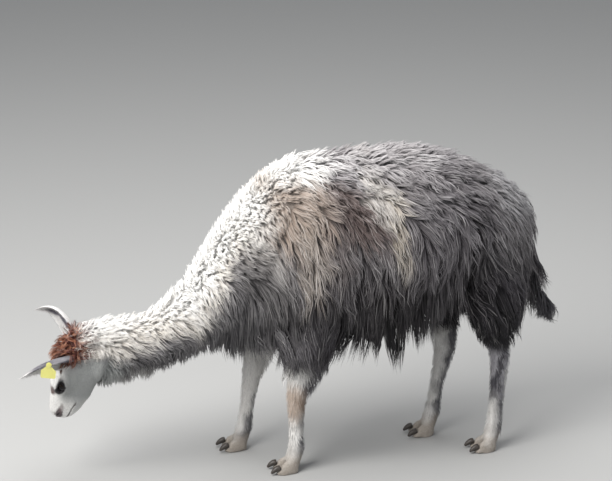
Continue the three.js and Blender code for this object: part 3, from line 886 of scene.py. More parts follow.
class Surface:
    """The skin, as the coat grows on it."""

    def __init__(self, mesh, owner, outer):
        self.points = points_of(mesh)
        self.owner = owner
        self.triangles = triangles_of(mesh)
        self.middle = self.points[self.triangles].mean(1)
        self.part = owner[self.triangles[:, 0]]
        edges = edges_of(mesh)
        self.normals = unit(spread(edges, normals_of(mesh), 0.8, 8))
        self.bvh = BVHTree.FromPolygons(self.points.tolist(), self.triangles.tolist())
        self.outer = outer
        a, b, c = (self.points[self.triangles[:, k]] for k in range(3))
        self.area = np.linalg.norm(np.cross(b - a, c - a), axis=1) / 2

    def nearest(self, points):
        where = np.empty((len(points), 3))
        face = np.empty(len(points), int)
        for k, p in enumerate(points):
            spot, _, index, _ = self.bvh.find_nearest(p)
            where[k] = spot
            face[k] = index
        return where, unit(self.normals[self.triangles[face]].mean(1))

    def scatter(self, wanted, spacing, rng, crowd=3.0):
        """Roots about one spacing apart on the triangles that are wanted."""
        weight = self.area * wanted
        total = weight.sum()
        count = int(crowd * total / spacing**2)
        pick = rng.choice(len(weight), count, p=weight / total)
        r = rng.random((count, 2))
        s = np.sqrt(r[:, 0])
        share = np.stack([1 - s, s * (1 - r[:, 1]), s * r[:, 1]], 1)
        corner = self.triangles[pick]
        spots = (self.points[corner] * share[:, :, None]).sum(1)
        cells = np.floor(spots / spacing).astype(int)
        kept, grid = [], {}
        near = list(itertools.product((-1, 0, 1), repeat=3))
        limit = (0.82 * spacing) ** 2
        plain = spots.tolist()
        for n, (i, j, k) in enumerate(cells.tolist()):
            px, py, pz = plain[n]
            free = True
            for di, dj, dk in near:
                for m in grid.get((i + di, j + dj, k + dk), ()):
                    qx, qy, qz = plain[m]
                    if (px - qx) ** 2 + (py - qy) ** 2 + (pz - qz) ** 2 < limit:
                        free = False
                        break
                if not free:
                    break
            if free:
                grid.setdefault((i, j, k), []).append(n)
                kept.append(n)
        kept = np.array(kept)
        corner, share = corner[kept], share[kept]
        normals = unit((self.normals[corner] * share[:, :, None]).sum(1))
        return spots[kept], normals, self.owner[corner[:, 0]]

    def room(self, spots, normals, most):
        """How far the outer shape lies over each root."""
        out = np.empty(len(spots))
        for k, (spot, normal) in enumerate(zip(spots, normals)):
            way = Vector(normal)
            hit = self.outer.ray_cast(Vector(spot) + way * CLEAR, way, most)
            out[k] = hit[3] + CLEAR if hit[0] is not None else most
        return out


surface = Surface(skin_mesh, skin_owner, outer_bvh)

# ---------------------------------------------------------------- locks
SEGMENTS = 4
RING = 3  # points round a lock
TAPER = np.array([0.80, 1.0, 0.90, 0.62])
SHORT_TAPER = np.array([0.9, 0.8])
FLATNESS = 0.55  # the thickness of a lock, as a share of its width
SOFTEN = 0.66  # how far a lock is shaded like the body under it
RAGGED = 0.22  # how far the strands differ in length
PATCH = 0.003  # the side of each lock's patch on the unwrap


def hem_line():
    """The lowest level of the trunk's fleece at each place along it."""
    points = points_of(NODES["trunk"].data)
    x, _, z = from_shoulder(points)
    along = np.linspace(-0.42, 0.86, 65)
    return along, np.array([z[np.abs(x - at) < 0.02].min(initial=1.2) for at in along])


HEM_X, HEM_Z = hem_line()
THIGH_HEM = (  # x along the thigh, and the level of its hem there
    (0.46, 0.50, 0.55, 0.63, 0.72, 0.79, 0.86),
    (0.62, 0.58, 0.50, 0.462, 0.452, 0.54, 0.63),
)
THIGH_START = 0.47


def hem_level(points):
    """How low the fleece hangs: the curtain of the flank, then each thigh's own hem."""
    x, y, _ = from_shoulder(points)
    ahead = np.where(y > 0, 0.075, 0.0)  # the right thigh stands further forward
    thigh = np.interp(x + ahead, *THIGH_HEM)
    return np.where(x + ahead > THIGH_START, thigh, np.interp(x, HEM_X, HEM_Z))


# Places where the locks part and show the dark below: x, level, half width, half height, side.
PARTINGS = (
    (0.413, 0.752, 0.013, 0.045, -1),
    (0.480, 0.712, 0.014, 0.055, -1),
    (0.545, 0.740, 0.012, 0.150, -1),
    (0.262, 0.625, 0.011, 0.080, -1),
    (0.340, 0.640, 0.010, 0.070, -1),
    (0.165, 0.560, 0.010, 0.060, -1),
    (0.035, 0.540, 0.009, 0.060, -1),
    (-0.110, 0.560, 0.009, 0.050, -1),
    (0.660, 0.600, 0.010, 0.060, -1),
    (0.450, 0.740, 0.013, 0.055, 1),
    (0.300, 0.640, 0.011, 0.080, 1),
    (0.100, 0.570, 0.010, 0.060, 1),
    (0.470, 0.700, 0.012, 0.120, 1),
)


def part_locks(path, root):
    """Draws the strands aside round each parting."""
    x, z = path[:, :, 0] - ORIGIN_X, path[:, :, 2]
    for at, level, wide, high, side in PARTINGS:
        u, v = (x - at) / wide, (z - level) / high
        reach = np.sqrt(u * u + v * v)
        near = (reach < 2.6) & ((root[:, 1] * side) > 0.05)[:, None]
        grown = 0.95 + reach * (1.65 / 2.6)
        scale = np.where(near, grown / np.maximum(reach, 0.08), 1.0)
        t = np.linspace(0, 1, path.shape[1])[None, :] ** 0.3
        x = at + (x - at) * mix(1.0, np.minimum(scale, 6), t)
    path = path.copy()
    path[:, :, 0] = x + ORIGIN_X
    return path


def grow(spots, normals, owner, length, height, segments=SEGMENTS, bury=0.003, curve=2.4):
    """Centre lines that leave the skin, lie along it at their height, and hang under the body."""
    line = np.empty((len(spots), segments + 1, 3))
    up = np.empty_like(line)
    line[:, 0] = spots - normals * bury
    up[:, 0] = normals
    here, n = spots.copy(), normals.copy()
    off_head = ~part_of(owner, "head")
    for j in range(1, segments + 1):
        way = flow(here, n, owner)
        hang = step(-0.12, -0.55, n[:, 2])[:, None] * off_head[:, None]
        way = unit(way * (1 - hang) + DOWN * hang)
        here = here + way * (length / segments)[:, None]
        foot, m = surface.nearest(here)
        h = height * (1 - (1 - j / segments) ** curve)
        off = dot(here - foot, m)
        pull = np.where(off > h, 1 - hang[:, 0], 1.0)
        fixed = here + m * ((h - off) * pull)[:, None]
        clear = np.linalg.norm(here - foot, axis=1) > h + 0.02  # hanging clear of the skin
        here = np.where((clear & (hang[:, 0] > 0.3))[:, None], here, fixed)
        n = unit(n * 0.3 + m)
        line[:, j] = here
        up[:, j] = n
    return line, up


def within_hem(line, reach):
    """Shortens the locks that would hang lower than the hem allows."""
    root, tip = line[:, 0, 2], line[:, -1, 2]
    low = np.minimum(tip, line[:, -2, 2])
    share = np.clip((root - reach) / np.maximum(root - low, 1e-6), 0.25, 1)
    return line[:, :1] + (line - line[:, :1]) * share[:, None, None]


def gather(line, anchors, amount):
    """Pulls locks together into big ones, more towards their tips."""
    tree = KDTree(len(anchors))
    for k in anchors:
        tree.insert(line[k, 0], int(k))
    tree.balance()
    home = np.array([tree.find(p)[1] for p in line[:, 0]])
    t = np.linspace(0, 1, line.shape[1])[None, :, None]
    pull = amount[home][:, None, None] * t**1.3
    return line + (line[home] - line) * pull, home


def of_each(value, which):
    """One value for all lines or one for each of them, as the value of each strand."""
    return (value if np.ndim(value) else np.full(which.max() + 1, value))[which]


def strands(line, up, number, radius, width, gathered, wave, stray, rng):
    """Several strands round each centre line, closing up towards its tip."""
    which = np.repeat(np.arange(len(line)), number)
    path, normal = line[which], up[which]
    count, steps = len(which), line.shape[1]
    t = np.linspace(0, 1, steps)[None, :]
    ahead = unit(np.gradient(path, axis=1))
    across = unit(np.cross(normal, ahead))
    above = np.cross(ahead, across)
    angle = rng.uniform(0, 2 * math.pi, count)
    out = radius * np.sqrt(rng.random(count))
    a, b = out * np.cos(angle), out * np.sin(angle)
    root_shift = across[:, 0] * a[:, None] + ahead[:, 0] * b[:, None]
    share = 1 - of_each(gathered, which)[:, None] * t**0.8
    path = path + root_shift[:, None] * share[:, :, None]
    phase = rng.uniform(0, 2 * math.pi, len(line))[which] + rng.normal(0, 0.35, count)
    turns = rng.uniform(0.55, 1.10, len(line))[which]
    lift = rng.uniform(-1, 1, count)
    along = 2 * math.pi * turns[:, None] * t + phase[:, None]
    swing = np.sin(along) - np.sin(phase)[:, None]
    bob = np.cos(along) - np.cos(phase)[:, None]
    grown = t * (1.3 - 0.3 * t)
    wave = of_each(wave, which)[:, None]
    path = path + across * (wave * swing * grown)[:, :, None]
    path = path + above * (0.45 * wave * bob * grown)[:, :, None]
    sidewards = rng.normal(0, 1, count) * stray
    path = path + across * (sidewards[:, None] * t**1.5)[:, :, None]
    path = path + above * ((lift * stray * 0.7)[:, None] * t**1.5)[:, :, None]
    long = np.clip(rng.normal(1 - RAGGED / 2, RAGGED / 2, count), 0.5, 1.08)
    path = path[:, :1] + (path - path[:, :1]) * long[:, None, None]
    return path, normal, of_each(width, which) * rng.uniform(0.65, 1.25, count), which


def lock_faces(rings):
    """The faces of one lock: a closed tube of some rings, with a point for its tip."""
    faces = [(0, 2, 1)]
    for j in range(rings - 1):
        for k in range(RING):
            a, b = j * RING + k, j * RING + (k + 1) % RING
            faces += [(a, b, b + RING), (a, b + RING, a + RING)]
    last = (rings - 1) * RING
    return np.array(faces + [(last + k, last + (k + 1) % RING, last + RING) for k in range(RING)])


def build_coat(name, parts, unwrap, made, rng, taper=TAPER):
    """Turns strands into one joined mesh of closed, tapering locks."""
    path, normal, width, root, tone = (np.concatenate(x) for x in zip(*parts))
    count, steps = path.shape[:2]
    rings = steps - 1
    ahead = unit(np.gradient(path, axis=1))[:, :rings]
    across = unit(np.cross(normal[:, :rings], ahead))
    above = np.cross(ahead, across)
    roll = rng.uniform(-0.6, 0.6, count)
    corner = np.radians([90.0, 210.0, 330.0])[None, :] + roll[:, None]
    thick = width[:, None] / 2 * taper[None, :rings]
    ring = (
        across[:, :, None, :] * np.cos(corner)[:, None, :, None]
        + above[:, :, None, :] * (FLATNESS * np.sin(corner))[:, None, :, None]
    ) * thick[:, :, None, None] + path[:, :rings, None, :]
    per = rings * RING + 1
    points = np.empty((count, per, 3))
    points[:, :-1] = ring.reshape(count, rings * RING, 3)
    points[:, -1] = path[:, -1]
    faces = lock_faces(rings)
    corners_of = (faces[None] + (np.arange(count) * per)[:, None, None]).reshape(-1)
    mesh = bpy.data.meshes.new(name)
    mesh.vertices.add(count * per)
    mesh.loops.add(len(corners_of))
    mesh.loops.foreach_set("vertex_index", corners_of.astype(np.int32))
    mesh.polygons.add(count * len(faces))
    mesh.polygons.foreach_set("loop_start", np.arange(0, len(corners_of), 3, dtype=np.int32))
    mesh.vertices.foreach_set("co", points.astype(np.float32).ravel())
    mesh.update(calc_edges=True)
    shade_smooth(mesh)
    lean = np.concatenate([np.repeat(normal[:, :rings], RING, axis=1), normal[:, -1:]], 1)
    own = normals_of(mesh).reshape(count, per, 3)
    soft = unit(mix(own, lean, SOFTEN)).reshape(-1, 3)
    mesh.normals_split_custom_set_from_vertices(soft.tolist())
    along = np.concatenate([np.repeat(np.linspace(0, 1, steps)[:rings], RING), [1.0]])
    around = np.concatenate([np.tile(np.arange(RING) / RING, rings), [0.5]])
    hair = np.empty((count, per, 3))
    hair[:, :, 0] = tone[:, :1]
    hair[:, :, 1] = along[None]
    hair[:, :, 2] = tone[:, 1:2]
    add_values(mesh, "root", "FLOAT_VECTOR", "vector", np.repeat(root, per, 0))
    add_values(mesh, "hair", "FLOAT_VECTOR", "vector", hair)
    home = unwrap(root)
    low, high = home.min(0), home.max(0)
    home = 0.01 + 0.98 * (home - low) / (high - low)
    uv = np.empty((count, per, 2))
    uv[:, :, 0] = home[:, :1] + PATCH * (around[None] - 0.5)
    uv[:, :, 1] = home[:, 1:] + PATCH * (along[None] - 0.5)
    layer = mesh.uv_layers.new(name="OFBake")
    layer.data.foreach_set("uv", uv.reshape(-1, 2)[corners_of].astype(np.float32).ravel())
    obj = new_object(name, mesh)
    mesh.materials.append(made)
    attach(obj, "root")


BODY_AXIS = (  # x along the body, and the level of the axis that its coat is unwrapped round
    (-0.80, -0.57, -0.39, -0.28, -0.10, 0.85),
    (0.46, 0.52, 0.65, 0.74, 0.80, 0.82),
)
TAIL_AXIS = ((0.45, 0.6, 0.9), (0.93, 0.86, 0.83))  # the tail's levels, and its x there


def half_barrel(sign):
    """An unwrap of one side of the body: along it, and round its axis."""

    def unwrap(points):
        x, y, z = from_shoulder(points)
        axis = np.interp(x, *BODY_AXIS)
        return np.stack([x, np.arctan2(z - axis, np.abs(y * sign) + 0.02)], 1)

    return unwrap


def head_unwrap(points):
    h = head_local(points)
    return np.stack([h[:, 0], np.arctan2(h[:, 2] + 0.02, h[:, 1])], 1)


def tail_unwrap(points):
    x, y, z = from_shoulder(points)
    return np.stack([z, np.arctan2(x - np.interp(z, *TAIL_AXIS), y)], 1)


def leg_unwrap(points):
    """The four legs side by side: round each one, and up it."""
    x, y, z = from_shoulder(points)
    hind, right = x > 0.2, y > 0
    mid_x = np.where(hind, np.where(right, 0.53, 0.69), np.where(right, -0.18, -0.06))
    mid_y = np.where(right, np.where(hind, 0.078, 0.124), -0.123)
    turn = np.arctan2(y - mid_y, x - mid_x) / (2 * math.pi) + 0.5
    return np.stack([hind * 2.0 + right + 0.92 * turn, z], 1)


THIGH_FLEECE, ARM_FLEECE = 0.415, 0.360  # the long coat of the legs begins over these levels
TRUNK_ZONE = dict(
    spacing=0.0162, many=8.0, most=0.050, wave=0.0062, stray=0.0070,
    radius=0.0105, width=0.0043, big=0.048, pull=0.45,
)
NECK_ZONE = dict(
    spacing=0.0116, many=7.8, most=0.040, wave=0.0046, stray=0.0046,
    radius=0.0086, width=0.0031, big=0.032, pull=0.24,
)
TAIL_ZONE = dict(
    spacing=0.0100, many=8.0, most=0.046, wave=0.007, stray=0.0150,
    radius=0.013, width=0.0042, big=0.032, pull=0.4,
)


def trunk_form(spots, normals, owner, height, most):
    """Length, height, hem, skirt and closeness of the locks of the trunk, thighs and shoulders."""
    x, _, z = from_shoulder(spots)
    length = mix(0.072, 0.145, step(1.04, 0.74, z))
    length = np.where(normals[:, 2] < -0.4, np.minimum(length, 0.105), length)
    length = mix(length, 0.070, step(-0.05, -0.28, x) * step(0.75, 0.95, z))
    leg = part_of(owner, "leg")
    length = np.where(leg & (z < 0.56), np.minimum(length, 0.115), length)
    rump = 0.35 * step(0.62, 0.70, x) * step(0.66, 0.56, z)
    height = np.minimum(height, most) * (1 + rump)
    hem = np.where(part_of(owner, "leg_hind") & (z < 0.50), 0.42, hem_level(spots))
    hem = np.where(part_of(owner, "leg_front"), 0.372, hem)
    reach = np.where(leg & (z < 0.50), 0, (z - hem + 0.045) / 0.88)
    to_hem = (normals[:, 2] > -0.80) & (reach < 0.330)
    length = np.where(to_hem, np.maximum(length, reach), length)
    close = mix(0.62, 0.42, step(0.16, 0.02, x) * step(0.92, 1.02, z))
    return length, height, hem, np.where(leg, 0.018, 0.036), close


def neck_form(spots, normals, owner, height, most):
    x, _, z = from_shoulder(spots)
    crest = step(0.15, 0.65, normals[:, 2])
    length = mix(0.062, 0.040, crest) * mix(0.72, 1.0, step(-0.74, -0.58, x))
    length = mix(length, 0.110, step(-0.42, -0.28, x) * step(0.78, 0.62, z))
    throat = np.interp(x, (-0.80, -0.60, -0.45), (0.33, 0.36, 0.41))
    return length, np.minimum(height, most), np.minimum(hem_level(spots), throat), 0.004, 0.40


def tail_form(spots, normals, owner, height, most):
    length = mix(0.135, 0.100, step(0.8, 0.9, spots[:, 2]))
    return length, np.minimum(height * 1.35, most), np.full(len(spots), 0.452), 0.004, 0.62


def grow_zone(zone, form, wanted, rng):
    """The strands of one zone of the long coat."""
    spots, normals, owner = surface.scatter(wanted, zone["spacing"], rng)
    count = len(spots)
    height = surface.room(spots, normals, 0.07)
    length, height, hem, skirt, close = form(spots, normals, owner, height, zone["most"])
    length = length * rng.uniform(0.85, 1.12, count)
    uneven = 0.93 + 0.05 * LIFT(spots) + rng.normal(0, 0.05, count)
    height = height * np.clip(uneven, 0.7, 1.05)
    segments = 3 if form is neck_form else SEGMENTS
    line, up = grow(spots, normals, owner, length, height, segments=segments)
    ragged = 0.018 * SWAY_FINE(spots * np.array([1, 1, 0.2])) + rng.uniform(-0.006, 0.02, count)
    line = within_hem(line, hem - skirt + np.maximum(ragged, -0.002))
    anchors = rng.permutation(count)[: int(count * (zone["spacing"] / zone["big"]) ** 2)]
    amount = rng.uniform(0.3, 1.25, count) * zone["pull"]
    line, home = gather(line, anchors, np.clip(amount, 0, 0.8))
    number = rng.poisson(zone["many"] - 2, count) + 2
    path, normal, width, which = strands(
        line, up, number, zone["radius"], zone["width"], close, zone["wave"], zone["stray"], rng
    )
    if form is trunk_form:
        path = part_locks(path, path[:, 0])
    vary = rng.random(len(which))
    lock = rng.random(count)[home][which] * 0.6 + rng.random(count)[which] * 0.4
    return path, normal, width, path[:, 0], np.stack([vary, lock], 1)


def grow_fleece():
    """The long coat of the trunk with the thighs, the neck and the tail."""
    rng = np.random.default_rng(31)
    part, level = surface.part, surface.middle[:, 2]
    trunk = part_of(part, "trunk")
    trunk |= part_of(part, "leg_hind") & (level > THIGH_FLEECE)
    trunk |= part_of(part, "leg_front") & (level > ARM_FLEECE)
    return (
        grow_zone(TRUNK_ZONE, trunk_form, trunk, rng),
        grow_zone(NECK_ZONE, neck_form, part_of(part, "neck"), rng),
        grow_zone(TAIL_ZONE, tail_form, part_of(part, "tail"), rng),
    )


def unbroken(line):
    """Which lines bend gently all along: the others met an ear or a fold."""
    ways = unit(np.diff(line, axis=1))
    return dot(ways[:, 1:], ways[:, :-1]).min(1) > 0.38


def grow_crown():
    """The topknot, and the hair of the nape behind its parting."""
    rng = np.random.default_rng(47)
    wanted = part_of(surface.part, "head") & (crown_share(surface.middle) > 0.35)
    spots, normals, owner = surface.scatter(wanted, 0.0060, rng)
    height = np.minimum(surface.room(spots, normals, 0.06), 0.036)
    height = height * rng.uniform(0.7, 1.05, len(spots))
    length = rng.uniform(0.036, 0.054, len(spots))
    parting = bell(head_local(spots)[:, 0] - CROWN_PARTING, 0.016)
    height = height * (1 + 0.25 * parting)
    line, up = grow(spots, normals, owner, length, height, curve=2.2)
    keep = unbroken(line)
    line, up, normals, parting = (a[keep] for a in (line, up, normals, parting))
    count = len(line)
    # over the whorl the hairs turn every way, so that they cover it
    turn = (rng.normal(0, 1.5, count) * np.sqrt(parting))[:, None, None]
    axis = normals[:, None]
    hair = line - line[:, :1]
    line = line[:, :1] + hair * np.cos(turn) + np.cross(axis, hair) * np.sin(turn)
    line = line + axis * (hair * axis).sum(-1, keepdims=True) * (1 - np.cos(turn))
    line, home = gather(line, rng.permutation(count)[: count // 6], np.full(count, 0.30))
    number = rng.poisson(2.4, count) + 3
    path, normal, width, which = strands(
        line, up, number, 0.005, 0.0021, 0.45, 0.0019, 0.0028, rng
    )
    tone = np.stack([rng.random(len(which)), rng.random(count)[home][which]], 1)
    return path, normal, width, path[:, 0], tone


def clear_of_eyes(points):
    clear = np.ones(len(points), bool)
    for side, _ in EYES:
        u, v, w = in_eye(points, side)
        clear &= (lid_gap(u, v) > 0.0045) | (w < -0.01)
    return clear


def short_form(zone, spots, normals, length, height, rng):
    """Length and height of short tufts, as the place changes them."""
    if zone == "legs":
        foot = step(0.10, 0.04, spots[:, 2])
        room = surface.room(spots, normals, 0.03)
        height = np.clip(room * rng.uniform(0.7, 1.0, len(spots)), 0.002, 0.024)
        length = np.maximum(length * (1 - 0.5 * foot), 2.4 * height)
    if zone == "face":
        along = head_local(spots)[:, 0]
        nose, cheek = step(0.22, 0.29, along), step(0.10, 0.0, along)
        length = length * (1 - 0.45 * nose) * (1 + 1.3 * cheek)
        height = height * (1 - 0.4 * nose) * (1 + 2.2 * cheek)
    return length, height


def grow_short():
    """Short tufts on the face, the ears, the lower legs and the feet."""
    rng = np.random.default_rng(59)
    part, middle = surface.part, surface.middle
    level = middle[:, 2]
    bare = (crown_share(middle) < 0.5) & clear_of_eyes(middle) & (head_local(middle)[:, 0] < 0.297)
    leg = part_of(part, "leg")
    out = {}
    face = part_of(part, "head") & bare
    shin = leg & (level < 0.46) & (level > 0.075)
    foot = leg & (level < 0.095) & (level > 0.010)
    for zone, wanted, spacing, long, thick, width in (
        ("face", face, 0.0024, (0.007, 0.011), (0.0003, 0.0009), 0.0013),
        ("ears", part_of(part, "ear"), 0.0028, (0.007, 0.011), (0.0003, 0.0009), 0.0013),
        ("legs", shin, 0.0068, (0.016, 0.028), (0.0030, 0.0065), 0.0030),
        ("feet", foot, 0.0042, (0.009, 0.015), (0.0006, 0.0018), 0.0019),
    ):
        spots, normals, owner = surface.scatter(wanted, spacing, rng, crowd=2.2)
        count = len(spots)
        length, height = rng.uniform(*long, count), rng.uniform(*thick, count)
        length, height = short_form(zone, spots, normals, length, height, rng)
        line, up = grow(spots, normals, owner, length, height, segments=2, bury=0.0012)
        number = rng.integers(1, 3, count) if zone == "legs" else np.ones(count, int)
        path, normal, wide, which = strands(
            line, up, number, 0.002, width, 0.2, 0.0012, 0.0016, rng
        )
        path[:, :, 2] = np.maximum(path[:, :, 2], 0.0025)  # none under the floor
        tone = np.stack([rng.random(len(which)), rng.random(count)[which]], 1)
        out[zone] = (path, normal, wide, path[:, 0], tone)
    return out


# ---------------------------------------------------------------- materials
class Graph:
    """Short ways to write a node tree."""

    def __init__(self, tree):
        self.tree = tree

    def node(self, kind, **values):
        made = self.tree.nodes.new(kind)
        for key, value in values.items():
            setattr(made, key, value)
        return made

    def put(self, socket, value):
        if isinstance(value, bpy.types.NodeSocket):
            self.tree.links.new(value, socket)
        elif value is not None:
            if isinstance(value, tuple) and len(value) == 3 and len(socket.default_value) == 4:
                value = (*value, 1)
            socket.default_value = value

    def position(self):
        return self.node("ShaderNodeNewGeometry").outputs["Position"]

    def attribute(self, name, output):
        return self.node("ShaderNodeAttribute", attribute_name=name).outputs[output]

    def math(self, operation, a, b=None, c=None):
        made = self.node("ShaderNodeMath", operation=operation)
        for socket, value in zip(made.inputs, (a, b, c)):
            self.put(socket, value)
        return made.outputs[0]

    def vector(self, operation, a, b=None):
        made = self.node("ShaderNodeVectorMath", operation=operation)
        self.put(made.inputs[0], a)
        if b is not None:
            self.put(made.inputs[1], b)
        return made.outputs["Value" if operation in ("DOT_PRODUCT", "LENGTH") else "Vector"]

    def ramp(self, value, low, high, to_low=0.0, to_high=1.0):
        made = self.node("ShaderNodeMapRange", interpolation_type="SMOOTHSTEP")
        keys = ("Value", "From Min", "From Max", "To Min", "To Max")
        for key, part in zip(keys, (value, low, high, to_low, to_high)):
            self.put(made.inputs[key], part)
        return made.outputs["Result"]

    def mix(self, share, a, b, blend="MIX"):
        made = self.node("ShaderNodeMix", data_type="RGBA", blend_type=blend)
        self.put(made.inputs["Factor"], share)
        self.put(made.inputs["A"], a)
        self.put(made.inputs["B"], b)
        return made.outputs["Result"]

    def noise(self, where, scale, detail=2.0, rough=0.5):
        made = self.node("ShaderNodeTexNoise")
        self.put(made.inputs["Vector"], where)
        made.inputs["Scale"].default_value = scale
        made.inputs["Detail"].default_value = detail
        made.inputs["Roughness"].default_value = rough
        return made.outputs["Fac"], made.outputs["Color"]

    def stretch(self, where, scale, turn=(0, 0, 0), shift=(0, 0, 0), kind="POINT"):
        made = self.node("ShaderNodeMapping", vector_type=kind)
        self.put(made.inputs["Vector"], where)
        made.inputs["Location"].default_value = shift
        made.inputs["Rotation"].default_value = turn
        made.inputs["Scale"].default_value = scale
        return made.outputs["Vector"]

    def patch(self, where, middle, radii, turn=0.0, soft=0.35, strength=1.0):
        """1 inside an ellipse of the side view, turned by some degrees, fading to 0 at its edge."""
        tilt = (0, -math.radians(turn), 0)
        wide = (radii[0], 100.0, radii[1])
        local = self.stretch(where, wide, tilt, (middle[0], 0, middle[1]), "TEXTURE")
        return self.ramp(self.vector("LENGTH", local), 1 + soft, 1 - soft, 0.0, strength)

    def ball(self, where, middle, radii, soft, strength=1.0):
        local = self.stretch(where, radii, (0, 0, 0), middle, "TEXTURE")
        return self.ramp(self.vector("LENGTH", local), 1 + soft, 1 - soft, 0.0, strength)

    def patches(self, color, where, rows):
        """Lays one patch after another over a colour."""
        for *form, shade in rows:
            color = self.mix(self.patch(where, *form), color, shade)
        return color

    def shift(self, noise, amount):
        """A small move to any side, from the colour of a noise."""
        made = self.node("ShaderNodeVectorMath", operation="SCALE")
        self.put(made.inputs[0], self.vector("SUBTRACT", noise, (0.5, 0.5, 0.5)))
        made.inputs["Scale"].default_value = amount
        return made.outputs["Vector"]

    def separate(self, where):
        made = self.node("ShaderNodeSeparateXYZ")
        self.put(made.inputs[0], where)
        return made.outputs[0], made.outputs[1], made.outputs[2]

    def combine(self, x, y, z):
        made = self.node("ShaderNodeCombineXYZ")
        for socket, value in zip(made.inputs, (x, y, z)):
            self.put(socket, value)
        return made.outputs[0]

    def bump(self, height, strength, distance, normal=None):
        made = self.node("ShaderNodeBump")
        made.inputs["Strength"].default_value = strength
        made.inputs["Distance"].default_value = distance
        self.put(made.inputs["Height"], height)
        if normal is not None:
            self.put(made.inputs["Normal"], normal)
        return made.outputs["Normal"]


WHITE = (0.88, 0.87, 0.85)
CREAM = (0.72, 0.685, 0.64)
BROWN = (0.150, 0.115, 0.108)
GREY = (0.230, 0.215, 0.220)
# the maroon of the painted shadow between the roots of the topknot's locks
MAROON_SHADOW = (0.075, 0.016, 0.012)
BLACK = (0.008, 0.006, 0.008)

# Patches of the side view: middle and radii in x from the shoulder plane and level, turn in
# degrees, softness of the edge, strength and colour. Each is laid over those before it.
TRUNK_PATCHES = (
    ((0.28, 1.13), (0.26, 0.055), -2, 0.4, 0.8, (0.44, 0.42, 0.425)),
    # darker on the lower flank: partly the coat's own colour, partly painted shade
    ((0.28, 0.73), (0.22, 0.13), 0, 0.5, 0.6, (0.048, 0.043, 0.047)),
    ((0.47, 0.91), (0.16, 0.16), -20, 0.5, 0.6, (0.125, 0.116, 0.128)),
    ((0.71, 1.01), (0.11, 0.085), -50, 0.5, 0.85, (0.42, 0.41, 0.42)),
    # painted shadow: the narrow dark strip where the flank's curtain overhangs the thigh
    ((0.56, 0.70), (0.045, 0.20), 0, 0.5, 0.8, (0.026, 0.023, 0.027)),
    # the dark of the thigh, rump and hem in these three rows: partly the coat's own colour, partly
    # painted shade under the body
    ((0.66, 0.60), (0.19, 0.20), 0, 0.35, 0.85, (0.036, 0.032, 0.038)),
    ((0.68, 0.52), (0.20, 0.12), 0, 0.4, 0.97, (0.008, 0.007, 0.009)),
    ((0.27, 0.58), (0.15, 0.15), 8, 0.45, 0.92, (0.012, 0.010, 0.012)),
    # the brown of the shoulder and the pale stripes behind it
    ((0.115, 0.975), (0.15, 0.062), -24, 0.45, 0.9, BROWN),
    ((0.04, 0.90), (0.05, 0.11), -8, 0.5, 0.6, (0.170, 0.145, 0.140)),
    ((0.205, 1.02), (0.042, 0.085), 32, 0.5, 0.9, (0.50, 0.47, 0.44)),
    ((0.262, 0.93), (0.026, 0.100), 12, 0.5, 0.9, (0.52, 0.475, 0.42)),
)
OUTER_PATCHES = (
    ((-0.13, 1.085), (0.23, 0.080), 28, 0.4, 1.0, WHITE),
    ((-0.09, 0.965), (0.120, 0.085), 20, 0.5, 0.85, (0.42, 0.35, 0.30)),
    ((-0.265, 0.985), (0.085, 0.10), 30, 0.5, 0.9, WHITE),
    ((-0.050, 0.84), (0.045, 0.11), 0, 0.5, 0.7, (0.42, 0.37, 0.33)),
    # painted shade in the deep gaps of the flank; the last is the shadow that the flank's curtain
    # casts on the thigh
    ((0.413, 0.755), (0.014, 0.055), 0, 0.5, 0.92, BLACK),
    ((0.480, 0.715), (0.017, 0.065), 0, 0.5, 0.92, BLACK),
    ((0.545, 0.78), (0.018, 0.19), 4, 0.6, 0.75, BLACK),
    # the tail
    ((0.89, 0.56), (0.060, 0.17), 0, 0.35, 0.8, (0.105, 0.102, 0.112)),
)
EAR_PATCHES = (
    # painted shade in these three rows: the dark band in the hollow of the near ear
    ((-0.885, 0.496), (0.065, 0.016), 8, 0.45, 0.88, (0.130, 0.125, 0.145)),
    ((-0.890, 0.479), (0.055, 0.0065), 10, 0.45, 0.88, (0.012, 0.010, 0.022)),
    ((-0.968, 0.476), (0.045, 0.0090), 24, 0.45, 0.88, (0.070, 0.067, 0.090)),
    ((-0.888, 0.599), (0.030, 0.0085), -30, 0.45, 0.88, (0.045, 0.042, 0.075)),
    ((-0.849, 0.560), (0.032, 0.0090), -58, 0.45, 0.88, (0.045, 0.042, 0.075)),
)
# Patches of the head, in its own frame: middle, radii, softness, strength and colour.
FACE_PATCHES = (
    # painted shade in these two rows: the grey of the cheek and jaw, and of the side of the head
    # behind the eye
    ((0.20, 0.045, -0.03), (0.07, 0.04, 0.03), 0.4, 0.5, (0.36, 0.37, 0.37)),
    ((0.045, 0.055, 0.035), (0.05, 0.04, 0.030), 0.4, 0.7, (0.33, 0.325, 0.33)),
    ((0.197, 0.050, 0.073), (0.022, 0.062, 0.017), 0.30, 0.92, (0.085, 0.042, 0.036)),
    ((0.163, 0.055, 0.052), (0.043, 0.090, 0.0165), 0.18, 1.0, BLACK),
    ((0.284, 0.028, 0.034), (0.028, 0.021, 0.013), 0.25, 0.94, (0.045, 0.030, 0.034)),
    ((0.262, 0.034, 0.030), (0.022, 0.012, 0.008), 0.4, 0.6, (0.12, 0.085, 0.085)),
)
LEG_AXES = (  # for each leg: its x at the ground, how far that moves with the level, and its y
    (("right front", -0.238, 0.34, 0.124), ("left front", -0.085, 0.12, -0.124)),
    (("right hind", 0.492, 0.17, 0.078), ("left hind", 0.672, 0.055, -0.122)),
)


